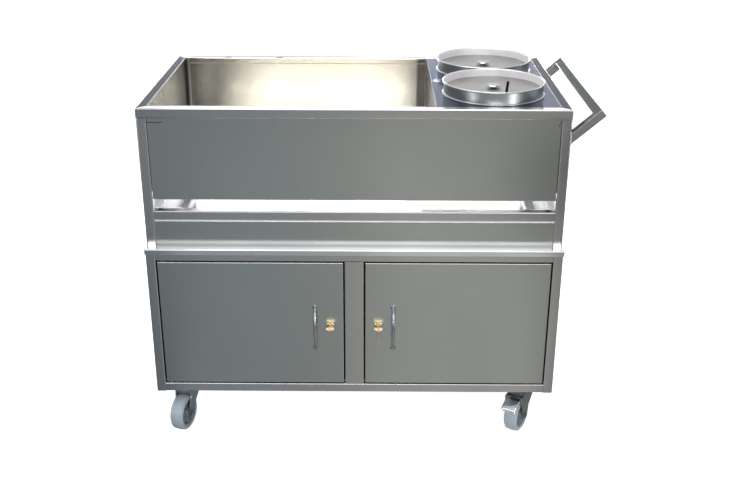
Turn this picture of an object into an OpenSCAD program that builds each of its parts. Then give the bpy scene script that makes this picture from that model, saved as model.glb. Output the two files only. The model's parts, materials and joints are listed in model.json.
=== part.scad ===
// Stainless steel popcorn cart: a two-door cabinet on four swivel casters carries an
// upper unit with an open popcorn well and a deck with two lift-out pots.
// Origin: on the floor, below the middle of the whole outline. +X right, +Y back, +Z up.

/* [Body] */
// Width over the corner posts
body_w = 1067; // [860:1:1500]
// Depth of the upper unit over its posts
upper_d = 590; // [588:1:900]
// How far the cabinet stands out in front of the upper unit
ledge_d = 26; // [10:1:80]
// Height of the upper unit above the worktop
upper_h = 361; // [290:1:500]
// Height of the cabinet, from its underside to the worktop
cabinet_h = 417; // [330:1:600]
// Height of the cabinet's underside above the floor
caster_h = 134; // [132:1:170]

/* [Frame and sheet] */
// Side of the square frame tube
tube = 25; // [20:1:35]
// Wall of the frame tube
tube_wall = 1.5; // [1:0.1:2.5]
// Thickness of the sheet metal
sheet = 1.2; // [0.8:0.1:2]
// Height of the rails under the worktop
head_rail_h = 32; // [25:1:50]
// Width of the stile between the doors
stile_w = 50; // [40:1:80]
// How far a panel lies behind the face of its frame
panel_inset = 2; // [1:0.5:6]
// Depth of a panel's folded lower edge
panel_return = 14; // [6:1:17]
// Height of the worktop's turned-down edge
worktop_lip = 15; // [8:1:24]
// Height of the open slot under the upper panels
slot_h = 30; // [15:1:60]
// Height of the apron strip that stands on the worktop
apron_h = 69; // [40:1:90]
// Height and depth of the hem along the top of an apron strip
apron_hem = 3; // [2:0.5:4]
// Width of the folded channels that carry the casters
bearer_w = 90; // [86:1:110]
// Thickness of the folded channels that carry the casters
bearer_t = 2; // [1.5:0.1:3]

/* [Well and pots] */
// Clear width of the bay that holds the pots
pot_bay_w = 306; // [285:1:400]
// Gap between the pan's floor and the slot below it
pan_gap = 12; // [2:1:30]
// Radius of the pan's upright corners
pan_corner_r = 12; // [4:1:30]
// Diameter of a pot's body
pot_d = 256; // [200:1:257]
// Diameter over a pot's rolled rim
pot_rim_d = 264; // [210:1:264]
// Distance between the centres of the two pots
pot_pitch = 267; // [266:1:300]
// How far a pot stands above the deck
pot_rise = 35; // [25:1:60]
// Gap under a pot's bottom
pot_foot_gap = 34; // [10:1:60]
// Gap between a pot and the edge of its hole
pot_clear = 1.5; // [0.5:0.1:2]
// Width and height of the bead that a pot rests on
pot_bead = 3.5; // [2.5:0.1:4]
// How far a lid lies below the pot's rim
lid_drop = 20; // [10:1:24]
// Gap between a lid and the pot's wall
lid_clear = 1.3; // [0.5:0.1:3]
// Diameter of a lid's knob
knob_d = 38; // [20:1:50]
// Height of a lid's knob
knob_h = 9; // [6:1:20]
// Width of the ladle slot in the front lid
ladle_w = 7; // [5:1:20]
// Length of the ladle slot
ladle_l = 125; // [60:1:150]
// Distance of the ladle slot from the middle of the lid
ladle_offset = 35; // [30:1:60]
// How far the ladle slot's middle lies behind the middle of the lid
ladle_back = 13; // [0:1:20]
// How far the front lid is turned round, in degrees
lid_turn = -9; // [-45:1:45]

/* [Doors] */
// Thickness of a door
door_t = 16; // [12:1:18]
// Gap around a door
door_gap = 3; // [2:0.5:6]
// Distance of a door's pivot from its outer edge
pivot_inset = 12; // [9:0.5:16]
// Diameter of a pivot pin
pivot_d = 8; // [6:1:9]
// Length of a pivot pin inside the door
pivot_depth = 14; // [8:1:30]
// Distance between the middles of a pull's feet
pull_h = 118; // [80:1:180]
// How far a pull stands off the door
pull_reach = 26; // [20:1:45]
// Diameter of the pull's bar
pull_bar_d = 8; // [6:1:12]
// Distance of a pull from the door's free edge
pull_inset = 74; // [60:1:110]
// Height of the pulls' middle above the cabinet's underside
pull_z = 196; // [120:1:250]

/* [Locks] */
// Distance of a lock from the door's free edge
lock_inset = 35; // [25:1:40]
// Height of the locks above the cabinet's underside
lock_z = 202; // [120:1:250]
// Diameter of a lock's head
lock_head_d = 20; // [19:1:26]
// Thickness of a lock's head
lock_head_t = 4; // [2:0.5:6]
// Diameter of a lock's barrel
lock_barrel_d = 16; // [14:1:18]
// Diameter of the turning plug
lock_plug_d = 11; // [10.5:0.5:12]
// How far a locked cam reaches behind the stile
cam_overlap = 14; // [6:1:20]
// Width of a cam
cam_w = 15; // [13:1:20]
// Thickness of a cam
cam_t = 2; // [1.5:0.1:3]
// Width of a key's blade
key_w = 8; // [6:0.5:8.5]
// Thickness of a key
key_t = 2; // [1.6:0.1:2.4]
// Diameter of a key's bow
key_bow_d = 22; // [18:1:28]
// Length of the bare blade between a lock and its key's bow
key_neck = 8; // [7.5:0.5:12]

/* [Push handle] */
// Side of the handle's square tube
handle_tube = 22; // [18:1:25]
// Distance from the body's side to the middle of the handle's bar
handle_out = 67; // [50:1:110]
// Rise from the legs' roots to the middle of the bar
handle_up = 59; // [20:1:80]
// Height of the bar's middle below the rim
handle_drop = 14; // [10:1:60]

/* [Casters] */
// Diameter of a wheel
wheel_d = 100; // [80:1:100]
// Width of a tyre
tyre_w = 38; // [30:1:46]
// Thickness of a tyre's tread
tyre_t = 12; // [6:1:16]
// Distance from the swivel axis back to the axle
trail = 34; // [25:1:40]
// Diameter of an axle
axle_d = 10; // [8:1:12]
// Diameter of a caster's king pin
kingpin_d = 12; // [10:1:14]
// Depth of a caster's top plate
plate_d = 75; // [70:1:90]
// Thickness of a caster's top plate
plate_t = 4; // [3:0.5:6]
// Distance of a caster bolt from the sides of its plate
bolt_edge_x = 9; // [9:0.5:12]
// Distance of a caster bolt from the front and back of its plate
bolt_edge_y = 11.5; // [9:0.5:14]
// Diameter of a caster bolt
bolt_d = 8; // [6:1:8]
// Distance of a caster's plate from the inside of the front or back rail
plate_inset = 2.5; // [1:0.5:40]
// Thickness of a fork's legs
fork_t = 3; // [2:0.5:4]
// Gap between the tyre and a fork leg
fork_gap = 3; // [2:0.5:6]
// Length of a brake pedal, from its pivot to its tip
pedal_l = 52; // [40:1:60]
// Slope of a brake pedal below level
pedal_slope = 18; // [10:1:30]

/* [Fits] */
// Gap between a turning shaft and its bore
run_gap = 0.05; // [0.02:0.01:0.1]
// Gap between parts that slide past each other flat
face_gap = 0.3; // [0.2:0.05:0.5]

/* [Hidden] */
$fn = 48;
eps = 0.5;
hem = 2 * sheet;

// Levels above the floor
base_z = caster_h;
worktop_z = base_z + cabinet_h;
top_z = worktop_z + upper_h;
base_rail_top = base_z + tube;
head_rail_z = worktop_z - sheet - head_rail_h;
sill_z = worktop_z + apron_h;
slot_z = sill_z + tube;
panel_z = slot_z + slot_h;
rim_z = top_z - tube;
pan_floor_z = panel_z + pan_gap;

// The handle and the pulls reach past the body, so the body stands off the middle
handle_tilt = atan2(handle_up, handle_out);
handle_reach = handle_out + handle_tube * (cos(handle_tilt) + sin(handle_tilt)) / 2;
key_reach = lock_head_t + key_neck + key_bow_d;
left_x = -(body_w + handle_reach - hem) / 2;
right_x = left_x + body_w;
mid_x = left_x + body_w / 2;
cabinet_d = upper_d + ledge_d;
front_y = -(cabinet_d + hem - key_reach) / 2;
back_y = front_y + cabinet_d;
upper_y = front_y + ledge_d;

// Inside faces of the frame
in_left = left_x + tube;
in_right = right_x - tube;
in_front = front_y + tube;
in_back = back_y - tube;
upper_in = upper_y + tube;

// Pots
bay_x = in_right - pot_bay_w;
pot_x = bay_x + pot_bay_w / 2;
pot_mid_y = (upper_in + in_back) / 2;
front_pot_y = pot_mid_y - pot_pitch / 2;
rear_pot_y = pot_mid_y + pot_pitch / 2;
pot_top = top_z + pot_rise;
pot_bottom = pan_floor_z + sheet + pot_foot_gap;
pot_rim_r = (pot_rim_d - pot_d) / 4 + sheet / 2;
lid_r = pot_d / 2 - sheet - lid_clear;
lid_z = pot_top - lid_drop - sheet;

// Doors
door_w = (body_w - stile_w) / 2 - tube - 2 * door_gap;
door_z = base_rail_top + door_gap;
door_h = head_rail_z - door_gap - door_z;
pivot_y = front_y + door_t / 2;
bush_d = door_t - 2 * sheet;
cam_gap = 2;
cam_y = front_y + tube + cam_gap;
cam_l = lock_inset + door_gap + cam_overlap;
cam_nut_r = 5;
cam_nut_h = 3;
lock_nut_r = lock_barrel_d / 2 + 4;
lock_nut_h = 4;
pull_r = (pow(pull_h / 2, 2) + pow(pull_reach - pull_bar_d / 2, 2)) / (2 * (pull_reach - pull_bar_d / 2));
foot_flare = 4;
foot_taper = 2;
foot_r = pull_bar_d / 2 + foot_flare;
foot_h = 3;

// Keys
keyway_gap = 0.1;
key_in = 20;
key_hole_r = key_bow_d / 8;
key_ring_r = 10;
key_ring_wire = 1.6;
key_ring_z = key_w / 2 + face_gap + key_ring_wire / 2 - key_ring_r;
spare_bow_r = 7;
spare_blade_w = key_w - 2;
spare_blade_l = 24;
spare_hole_r = 2.2;
spare_hole_edge = 2;
spare_hole_z = key_ring_z - key_ring_r + key_ring_wire / 2 - spare_hole_r + face_gap;
spare_bow_z = spare_hole_z + spare_hole_r + spare_hole_edge - spare_bow_r;

// Casters
wheel_r = wheel_d / 2;
plate_z = base_z - plate_t;
race_r = 28;
race_h = 5;
head_r = 32;
head_rise = 16;
head_z = wheel_d + head_rise;
head_h = plate_z - race_h - face_gap - head_z;
kingpin_head_r = 9;
kingpin_head_h = 7;
plate_w = bearer_w - 2;
bolt_x = plate_w - 2 * bolt_edge_x;
bolt_y = plate_d - 2 * bolt_edge_y;
bolt_gap = 0.5;
bolt_head_h = 5;
bolt_head_r = 6.8;
bolt_end = 2;
nut_h = 6.5;
fork_in = tyre_w / 2 + fork_gap;
fork_out = fork_in + fork_t;
fork_eye_r = 13;
fork_leg_r = 12;
fork_leg_z = wheel_r - 4;
fork_nose = 24;
fork_back = 6;
pedal_pivot_d = 6;
pedal_pivot_out = 20;
pedal_gap = 6;
pedal_pivot_z = wheel_d + pedal_gap;
pedal_ear = 8;
ear_z = pedal_pivot_z - 7;
pedal_t = 2;
pedal_edge = 1;
axle_end_r = 8;
axle_end_h = 5;
hub_rim_t = 4;
hub_rim_inset = 2;
hub_web_w = 6;
hub_boss_r = axle_d / 2 + 6;
hub_boss_w = 2 * fork_in - 2;
tyre_shoulder = tyre_t * 2 / 3;
caster_x = in_left + bearer_w / 2;
caster_y = in_front + plate_inset + plate_d / 2;

// Swivel axis and yaw of each caster at rest
CASTERS = [
    [caster_x, caster_y, -17],
    [2 * mid_x - caster_x, caster_y, -30],
    [caster_x, front_y + back_y - caster_y, 18],
    [2 * mid_x - caster_x, front_y + back_y - caster_y, -20]
];

STEEL = [0.56, 0.58, 0.58];
BRIGHT = [0.74, 0.76, 0.78];
DARK_STEEL = [0.42, 0.44, 0.45];
BRASS = [0.78, 0.6, 0.28];
ZINC = [0.66, 0.68, 0.7];
TYRE_GREY = [0.6, 0.65, 0.69];

// ---- Shared shapes ----

// A square tube from corner a to corner b, open at both ends along one axis (0, 1 or 2)
module hollow_bar(a, b, along, wall = tube_wall) {
    size = b - a;
    translate(a)
        difference() {
            cube(size);
            translate([for (i = [0:2]) i == along ? -eps : wall])
                cube([for (i = [0:2]) i == along ? size[i] + 2 * eps : size[i] - 2 * wall]);
        }
}

// A solid block from corner a to corner b
module block(a, b) {
    translate(a) cube(b - a);
}

// Puts a child built at the left onto the left or right side of the cabinet
module on_side(side) {
    translate([mid_x, 0, 0])
        mirror([side == "right" ? 1 : 0, 0, 0])
            translate([-mid_x, 0, 0])
                children();
}

// A round bar along +Y from the point p
module rod_y(p, r, l) {
    translate(p) rotate([-90, 0, 0]) cylinder(r = r, h = l);
}

// A rounded rectangle from corner a to corner b, in the XY plane
module round_rect(a, b, r) {
    translate([a[0] + r, a[1]]) square([b[0] - a[0] - 2 * r, b[1] - a[1]]);
    translate([a[0], a[1] + r]) square([b[0] - a[0], b[1] - a[1] - 2 * r]);
    for (x = [a[0] + r, b[0] - r])
        for (y = [a[1] + r, b[1] - r])
            translate([x, y]) circle(r = r);
}

// The outline of the pan, moved in by some thickness
module pan_outline(inward) {
    round_rect([in_left + inward, upper_in + inward], [in_right - inward, in_back - inward],
        pan_corner_r - inward);
}

// ---- Cabinet frame ----

module cabinet_posts() {
    color(STEEL)
        for (x = [left_x, in_right])
            for (y = [front_y, in_back])
                hollow_bar([x, y, base_z], [x + tube, y + tube, worktop_z - sheet], 2);
}

module cabinet_rails(z, h) {
    for (y = [front_y, in_back])
        hollow_bar([in_left, y, z], [in_right, y + tube, z + h], 0);
    for (x = [left_x, in_right])
        hollow_bar([x, in_front, z], [x + tube, in_back, z + h], 1);
}

module cabinet_base_rails() {
    color(STEEL) cabinet_rails(base_z, tube);
}

module cabinet_head_rails() {
    color(STEEL) cabinet_rails(head_rail_z, head_rail_h);
}

module centre_stile() {
    color(STEEL)
        hollow_bar([mid_x - stile_w / 2, front_y, base_rail_top],
            [mid_x + stile_w / 2, in_front, head_rail_z], 2);
}

// Two channels, open at the top, that tie the front and back rails together
module caster_bearers() {
    color(DARK_STEEL)
        for (x = [in_left, in_right - bearer_w])
            difference() {
                block([x, in_front, base_z], [x + bearer_w, in_back, base_rail_top]);
                block([x + bearer_t, in_front - eps, base_z + bearer_t],
                    [x + bearer_w - bearer_t, in_back + eps, base_rail_top + eps]);
                caster_bolt_holes();
            }
}

module caster_bolt_holes() {
    for (c = CASTERS)
        for (x = [-bolt_x / 2, bolt_x / 2])
            for (y = [-bolt_y / 2, bolt_y / 2])
                translate([c[0] + x, c[1] + y, plate_z - eps])
                    cylinder(r = bolt_d / 2 + bolt_gap, h = plate_t + bearer_t + 2 * eps);
}

module cabinet_floor() {
    color(BRIGHT)
        difference() {
            block([left_x + panel_inset + sheet, front_y + door_t + door_gap, base_rail_top],
                [right_x - panel_inset - sheet, back_y - panel_inset - sheet, base_rail_top + sheet]);
            for (x = [left_x, in_right])
                for (y = [front_y, in_back])
                    block([x, y, base_z], [x + tube, y + tube, worktop_z]);
            block([mid_x - stile_w / 2, front_y, base_z], [mid_x + stile_w / 2, in_front, worktop_z]);
        }
}

module cabinet_side_panels() {
    color(STEEL)
        for (x = [left_x + panel_inset, right_x - panel_inset - sheet])
            block([x, in_front, base_rail_top], [x + sheet, in_back, head_rail_z]);
}

module cabinet_back_panel() {
    color(STEEL)
        block([in_left, back_y - panel_inset - sheet, base_rail_top],
            [in_right, back_y - panel_inset, head_rail_z]);
}

// A flat sheet with its edge turned down and hemmed double on all four sides
module worktop() {
    color(BRIGHT)
        difference() {
            block([left_x - hem, front_y - hem, worktop_z - worktop_lip],
                [right_x + hem, back_y + hem, worktop_z]);
            block([left_x, front_y, worktop_z - worktop_lip - eps], [right_x, back_y, worktop_z - sheet]);
        }
}

// ---- Upper unit ----

module upper_posts() {
    color(STEEL)
        for (x = [left_x, in_right])
            for (y = [upper_y, in_back])
                hollow_bar([x, y, worktop_z], [x + tube, y + tube, rim_z], 2);
}

module sill_rails() {
    color(STEEL) {
        hollow_bar([in_left, upper_y, sill_z], [in_right, upper_in, slot_z], 0);
        for (x = [left_x, in_right])
            hollow_bar([x, upper_in, sill_z], [x + tube, in_back, slot_z], 1);
    }
}

// The triangle of a rim corner that belongs to the side rail
module rim_corner_cut(x, y, sx, sy) {
    translate([x, y, rim_z - eps])
        linear_extrude(height = tube + 2 * eps)
            polygon([[0, 0], [sx * tube, sy * tube], [-sx * eps, sy * tube], [-sx * eps, -sy * eps]]);
}

module rim_long_rails() {
    color(BRIGHT)
        for (y = [upper_y, in_back])
            difference() {
                hollow_bar([left_x, y, rim_z], [right_x, y + tube, top_z], 0);
                for (x = [left_x, right_x])
                    rim_corner_cut(x, y == upper_y ? upper_y : back_y,
                        x == left_x ? 1 : -1, y == upper_y ? 1 : -1);
            }
}

module rim_short_rails() {
    color(BRIGHT)
        for (x = [left_x, in_right])
            intersection() {
                hollow_bar([x, upper_y, rim_z], [x + tube, back_y, top_z], 1);
                translate([0, 0, rim_z])
                    linear_extrude(height = tube)
                        polygon(x == left_x
                            ? [[left_x, upper_y], [in_left, upper_in],
                                [in_left, in_back], [left_x, back_y]]
                            : [[right_x, upper_y], [in_right, upper_in],
                                [in_right, in_back], [right_x, back_y]]);
            }
}

module front_panel() {
    color(STEEL) {
        block([in_left, upper_y + panel_inset, panel_z], [in_right, upper_y + panel_inset + sheet, rim_z]);
        block([in_left, upper_y + panel_inset, panel_z],
            [in_right, upper_y + panel_inset + panel_return, panel_z + sheet]);
    }
}

module back_panel() {
    color(STEEL) {
        block([in_left, back_y - panel_inset - sheet, pan_floor_z],
            [in_right, back_y - panel_inset, rim_z]);
        block([in_left, back_y - panel_inset - panel_return, pan_floor_z],
            [in_right, back_y - panel_inset, pan_floor_z + sheet]);
    }
}

module side_panels() {
    color(STEEL)
        for (side = ["left", "right"])
            on_side(side) {
                block([left_x + panel_inset, upper_in, panel_z],
                    [left_x + panel_inset + sheet, in_back, rim_z]);
                block([left_x + panel_inset, upper_in, panel_z],
                    [left_x + panel_inset + panel_return, in_back, panel_z + sheet]);
            }
}

// Strips between the posts, from the worktop to the sill, with a hem along the top
module apron_strips() {
    color(STEEL) {
        block([in_left, upper_y + panel_inset, worktop_z],
            [in_right, upper_y + panel_inset + sheet, sill_z]);
        block([in_left, upper_y + panel_inset - apron_hem, sill_z - apron_hem],
            [in_right, upper_y + panel_inset + sheet, sill_z]);
        for (side = ["left", "right"])
            on_side(side) {
                block([left_x + panel_inset, upper_in, worktop_z],
                    [left_x + panel_inset + sheet, in_back, sill_z]);
                block([left_x + panel_inset - apron_hem, upper_in, sill_z - apron_hem],
                    [left_x + panel_inset + sheet, in_back, sill_z]);
            }
    }
}

// One pan under the whole upper unit, its top edge welded flush with the rim
module well_pan() {
    color(BRIGHT)
        difference() {
            translate([0, 0, pan_floor_z])
                linear_extrude(height = top_z - pan_floor_z)
                    pan_outline(0);
            translate([0, 0, pan_floor_z + sheet])
                linear_extrude(height = top_z - pan_floor_z)
                    pan_outline(sheet);
        }
}

// A folded sheet: the deck with its two pot holes, and the wall between well and pots
module pot_deck() {
    color(BRIGHT) {
        difference() {
            intersection() {
                translate([0, 0, top_z - sheet])
                    linear_extrude(height = sheet)
                        pan_outline(sheet);
                block([bay_x, upper_y, rim_z], [right_x, back_y, top_z + eps]);
            }
            for (y = [front_pot_y, rear_pot_y])
                translate([pot_x, y, rim_z])
                    cylinder(r = pot_d / 2 + pot_clear, h = tube + eps);
        }
        block([bay_x, upper_in + sheet, pan_floor_z + sheet], [bay_x + sheet, in_back - sheet, top_z]);
    }
}

// ---- Push handle ----

// A bar of square tube lying in the handle's own plane, mitred at 45 degrees
module push_handle() {
    half = handle_tube / 2;
    leg_l = sqrt(pow(handle_out, 2) + pow(handle_up, 2)) + half;
    span = upper_d - tube + handle_tube;
    color(STEEL)
        difference() {
            translate([right_x, upper_y + (tube - handle_tube) / 2, top_z - handle_drop - handle_up])
                rotate([0, -handle_tilt, 0])
                    difference() {
                        handle_loop(leg_l, span, 0, half);
                        handle_loop(leg_l - tube_wall, span, tube_wall, half - tube_wall);
                    }
            block([right_x - handle_reach, upper_y - eps, worktop_z], [right_x, back_y + eps, pot_top]);
        }
}

// The solid inside a loop of bar: its two legs and its cross bar, moved in by inward
module handle_loop(leg_l, span, inward, half) {
    width = 2 * half;
    for (y = [inward, span - inward - width])
        block([-handle_tube, y, -half], [leg_l, y + width, half]);
    block([leg_l - width, inward, -half], [leg_l, span - inward, half]);
}

// ---- Doors ----

module door_pins() {
    color(ZINC)
        for (side = ["left", "right"])
            on_side(side)
                for (z = [base_rail_top, head_rail_z - door_gap - pivot_depth])
                    translate([in_left + door_gap + pivot_inset, pivot_y, z])
                        cylinder(r = pivot_d / 2, h = door_gap + pivot_depth);
}

// A pan folded from one sheet, open at the back, with a bush for each pivot pin
module door() {
    x0 = in_left + door_gap;
    color(STEEL)
        difference() {
            union() {
                difference() {
                    block([x0, front_y, door_z], [x0 + door_w, front_y + door_t, door_z + door_h]);
                    block([x0 + sheet, front_y + sheet, door_z + sheet],
                        [x0 + door_w - sheet, front_y + door_t + eps, door_z + door_h - sheet]);
                }
                for (z = [door_z, door_z + door_h - pivot_depth])
                    translate([x0 + pivot_inset, pivot_y, z])
                        cylinder(r = bush_d / 2, h = pivot_depth);
            }
            for (z = [door_z - eps, door_z + door_h - pivot_depth - eps])
                translate([x0 + pivot_inset, pivot_y, z])
                    cylinder(r = pivot_d / 2 + run_gap, h = pivot_depth + 2 * eps);
            rod_y([lock_x(), front_y - eps, base_z + lock_z], lock_barrel_d / 2 + run_gap, door_t);
        }
}

function lock_x() = in_left + door_gap + door_w - lock_inset;

function pull_x() = in_left + door_gap + door_w - pull_inset;

module left_door() {
    door();
}

module right_door() {
    on_side("right") door();
}

// A bowed round bar on two flared feet
module pull() {
    half_angle = asin(pull_h / 2 / pull_r);
    color(BRIGHT)
        translate([pull_x(), front_y, base_z + pull_z]) {
            difference() {
                translate([0, pull_r - pull_reach + pull_bar_d / 2, 0])
                    rotate([0, 90, 0])
                        rotate([0, 0, -90 - half_angle])
                            rotate_extrude(angle = 2 * half_angle)
                                translate([pull_r, 0]) circle(r = pull_bar_d / 2);
                block([-foot_r, 0, -pull_h], [foot_r, pull_r, pull_h]);
            }
            for (z = [-pull_h / 2, pull_h / 2])
                translate([0, 0, z])
                    rotate([90, 0, 0])
                        cylinder(r1 = foot_r, r2 = foot_r - foot_taper, h = foot_h);
        }
}

module left_pull() {
    pull();
}

module right_pull() {
    on_side("right") pull();
}

// ---- Locks ----

// The lock's head, barrel and fixing nut, bored for the plug
module lock() {
    head_y = front_y - lock_head_t;
    color(BRASS)
        translate([lock_x(), 0, base_z + lock_z])
            difference() {
                union() {
                    rod_y([0, head_y, 0], lock_head_d / 2, lock_head_t);
                    rod_y([0, front_y, 0], lock_barrel_d / 2, cam_y - front_y - face_gap);
                    translate([0, front_y + sheet, 0])
                        rotate([-90, 0, 0])
                            cylinder(r = lock_nut_r, h = lock_nut_h, $fn = 6);
                }
                rod_y([0, head_y - eps, 0], lock_plug_d / 2 + run_gap,
                    lock_head_t + cam_y - front_y + 2 * eps);
            }
}

// The turning plug with its keyway, and the cam on its tail, pointing down when unlocked
module lock_cam() {
    plug_y = front_y - lock_head_t;
    color(ZINC)
        translate([lock_x(), 0, base_z + lock_z]) {
            difference() {
                rod_y([0, plug_y, 0], lock_plug_d / 2, cam_y - plug_y);
                block([-key_w / 2 - keyway_gap, plug_y - eps, -key_t / 2 - keyway_gap],
                    [key_w / 2 + keyway_gap, plug_y + key_in + keyway_gap, key_t / 2 + keyway_gap]);
            }
            rod_y([0, cam_y, 0], cam_w / 2, cam_t);
            block([-cam_w / 2, cam_y, -cam_l], [cam_w / 2, cam_y + cam_t, 0]);
            rod_y([0, cam_y + cam_t, 0], cam_nut_r, cam_nut_h);
        }
}

// A flat key in the lock, its bow lying level when unlocked
module key() {
    plug_y = front_y - lock_head_t;
    bow_y = plug_y - key_neck - key_bow_d / 2;
    color(BRASS)
        translate([lock_x(), 0, base_z + lock_z])
            difference() {
                union() {
                    block([-key_w / 2, bow_y, -key_t / 2], [key_w / 2, plug_y + key_in, key_t / 2]);
                    translate([0, bow_y, -key_t / 2]) cylinder(r = key_bow_d / 2, h = key_t);
                }
                translate([0, bow_y - key_bow_d / 4, -key_t]) cylinder(r = key_hole_r, h = 2 * key_t);
            }
}

// A split ring round the key's neck, with a second key hanging in it
module spare_key() {
    color(BRASS)
        translate([lock_x(), front_y - lock_head_t - key_neck / 2, base_z + lock_z]) {
            translate([0, 0, key_ring_z])
                rotate([90, 0, 0])
                    rotate_extrude()
                        translate([key_ring_r, 0]) circle(r = key_ring_wire / 2);
            difference() {
                union() {
                    translate([-key_t / 2, 0, spare_bow_z])
                        rotate([0, 90, 0]) cylinder(r = spare_bow_r, h = key_t);
                    block([-key_t / 2, -spare_blade_w / 2, spare_bow_z - spare_bow_r - spare_blade_l],
                        [key_t / 2, spare_blade_w / 2, spare_bow_z]);
                }
                translate([-key_t, 0, spare_hole_z])
                    rotate([0, 90, 0]) cylinder(r = spare_hole_r, h = 2 * key_t);
            }
        }
}

module left_lock() {
    lock();
}

module right_lock() {
    on_side("right") lock();
}

module left_lock_cam() {
    lock_cam();
}

module right_lock_cam() {
    on_side("right") lock_cam();
}

module left_key() {
    key();
}

module right_key() {
    on_side("right") key();
}

module left_spare_key() {
    spare_key();
}

module right_spare_key() {
    on_side("right") spare_key();
}

// ---- Pots ----

// A straight pot with a rolled rim, a bead that rests on the deck and a ledge for the lid
module pot(y) {
    r = pot_d / 2;
    color(DARK_STEEL)
        translate([pot_x, y, 0])
            rotate_extrude() {
                translate([0, pot_bottom]) square([r, sheet]);
                translate([r - sheet, pot_bottom]) square([sheet, pot_top - pot_rim_r - pot_bottom]);
                translate([r, top_z]) square([pot_bead, pot_bead]);
                translate([r - sheet - pot_bead, lid_z - pot_bead]) square([pot_bead, pot_bead]);
                translate([pot_rim_d / 2 - pot_rim_r, pot_top - pot_rim_r]) circle(r = pot_rim_r);
            }
}

// A flat disc that drops inside the rim
module lid(y) {
    color(STEEL)
        translate([pot_x, y, lid_z])
            cylinder(r = lid_r, h = sheet);
}

module knob(y) {
    color(BRIGHT)
        translate([pot_x, y, lid_z + sheet]) {
            cylinder(r = knob_d / 4, h = knob_h / 2);
            translate([0, 0, knob_h / 2])
                cylinder(r1 = knob_d / 2, r2 = knob_d / 2 - knob_h / 3, h = knob_h / 2);
        }
}

module front_pot() {
    pot(front_pot_y);
}

module rear_pot() {
    pot(rear_pot_y);
}

// The front lid has a slot for a ladle's handle, to one side of its knob
module front_lid() {
    difference() {
        lid(front_pot_y);
        translate([pot_x, front_pot_y, lid_z - eps])
            rotate([0, 0, lid_turn])
                translate([ladle_offset - ladle_w / 2, ladle_back - ladle_l / 2, 0])
                    cube([ladle_w, ladle_l, sheet + 2 * eps]);
    }
}

module rear_lid() {
    lid(rear_pot_y);
}

module front_knob() {
    knob(front_pot_y);
}

module rear_knob() {
    knob(rear_pot_y);
}

// ---- Casters ----

// Puts a child built round a swivel axis, trailing along -Y, onto caster i
module on_caster(i) {
    translate([CASTERS[i][0], CASTERS[i][1], 0])
        rotate([0, 0, CASTERS[i][2]])
            children();
}

// Top plates, each with its raceway and king pin, bolted under the bearers
module caster_plates() {
    color(ZINC)
        for (c = CASTERS)
            difference() {
                translate([c[0], c[1], 0]) {
                    block([-plate_w / 2, -plate_d / 2, plate_z], [plate_w / 2, plate_d / 2, base_z]);
                    translate([0, 0, plate_z - race_h]) cylinder(r = race_r, h = race_h);
                    translate([0, 0, head_z - face_gap]) cylinder(r = kingpin_d / 2, h = plate_z - head_z);
                    translate([0, 0, head_z - fork_t - face_gap - kingpin_head_h])
                        cylinder(r = kingpin_head_r, h = kingpin_head_h);
                    translate([0, 0, head_z - fork_t - face_gap - eps])
                        cylinder(r = kingpin_d / 2, h = fork_t + 2 * eps);
                }
                caster_bolt_holes();
            }
}

// Each bolt comes up through plate and bearer, with its nut inside the channel
module caster_bolts() {
    color(ZINC)
        for (c = CASTERS)
            for (x = [-bolt_x / 2, bolt_x / 2])
                for (y = [-bolt_y / 2, bolt_y / 2])
                    translate([c[0] + x, c[1] + y, plate_z - bolt_head_h]) {
                        cylinder(r = bolt_head_r, h = bolt_head_h, $fn = 6);
                        cylinder(r = bolt_d / 2, h = bolt_head_h + plate_t + bearer_t + nut_h + bolt_end);
                        translate([0, 0, bolt_head_h + plate_t + bearer_t])
                            cylinder(r = bolt_head_r, h = nut_h, $fn = 6);
                    }
}

// One leg of a fork, seen from the side; a braked fork reaches further over the wheel
module fork_leg(braked) {
    back = braked ? trail + pedal_pivot_out + pedal_ear : trail - fork_back;
    ear = braked ? back : trail + fork_leg_r;
    difference() {
        union() {
            polygon([[fork_nose, head_z], [-back, head_z], [-ear, ear_z],
                [-trail - fork_leg_r, fork_leg_z], [-trail + fork_leg_r, fork_leg_z]]);
            translate([-trail, wheel_r]) circle(r = fork_eye_r);
        }
        translate([-trail, wheel_r]) circle(r = axle_d / 2 + run_gap);
        if (braked)
            translate([-trail - pedal_pivot_out, pedal_pivot_z])
                circle(r = pedal_pivot_d / 2 + run_gap);
    }
}

// A pressed fork: swivel head, bridge and two legs
module fork(i, braked) {
    color(ZINC)
        on_caster(i) {
            difference() {
                union() {
                    translate([0, 0, head_z]) cylinder(r = head_r, h = head_h);
                    block([-fork_out, -trail, head_z - fork_t], [fork_out, fork_nose, head_z]);
                }
                translate([0, 0, head_z - fork_t - eps])
                    cylinder(r = kingpin_d / 2 + run_gap, h = head_h + fork_t + 2 * eps);
            }
            for (x = [-fork_out, fork_in])
                translate([x, 0, 0])
                    rotate([90, 0, 90])
                        linear_extrude(height = fork_t)
                            fork_leg(braked);
        }
}

module axle(i) {
    color(ZINC)
        on_caster(i)
            translate([-fork_out, -trail, wheel_r])
                rotate([0, 90, 0]) {
                    cylinder(r = axle_d / 2, h = 2 * fork_out);
                    translate([0, 0, -axle_end_h]) cylinder(r = axle_end_r, h = axle_end_h, $fn = 6);
                    translate([0, 0, 2 * fork_out]) cylinder(r = axle_end_r, h = axle_end_h, $fn = 6);
                }
}

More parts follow.
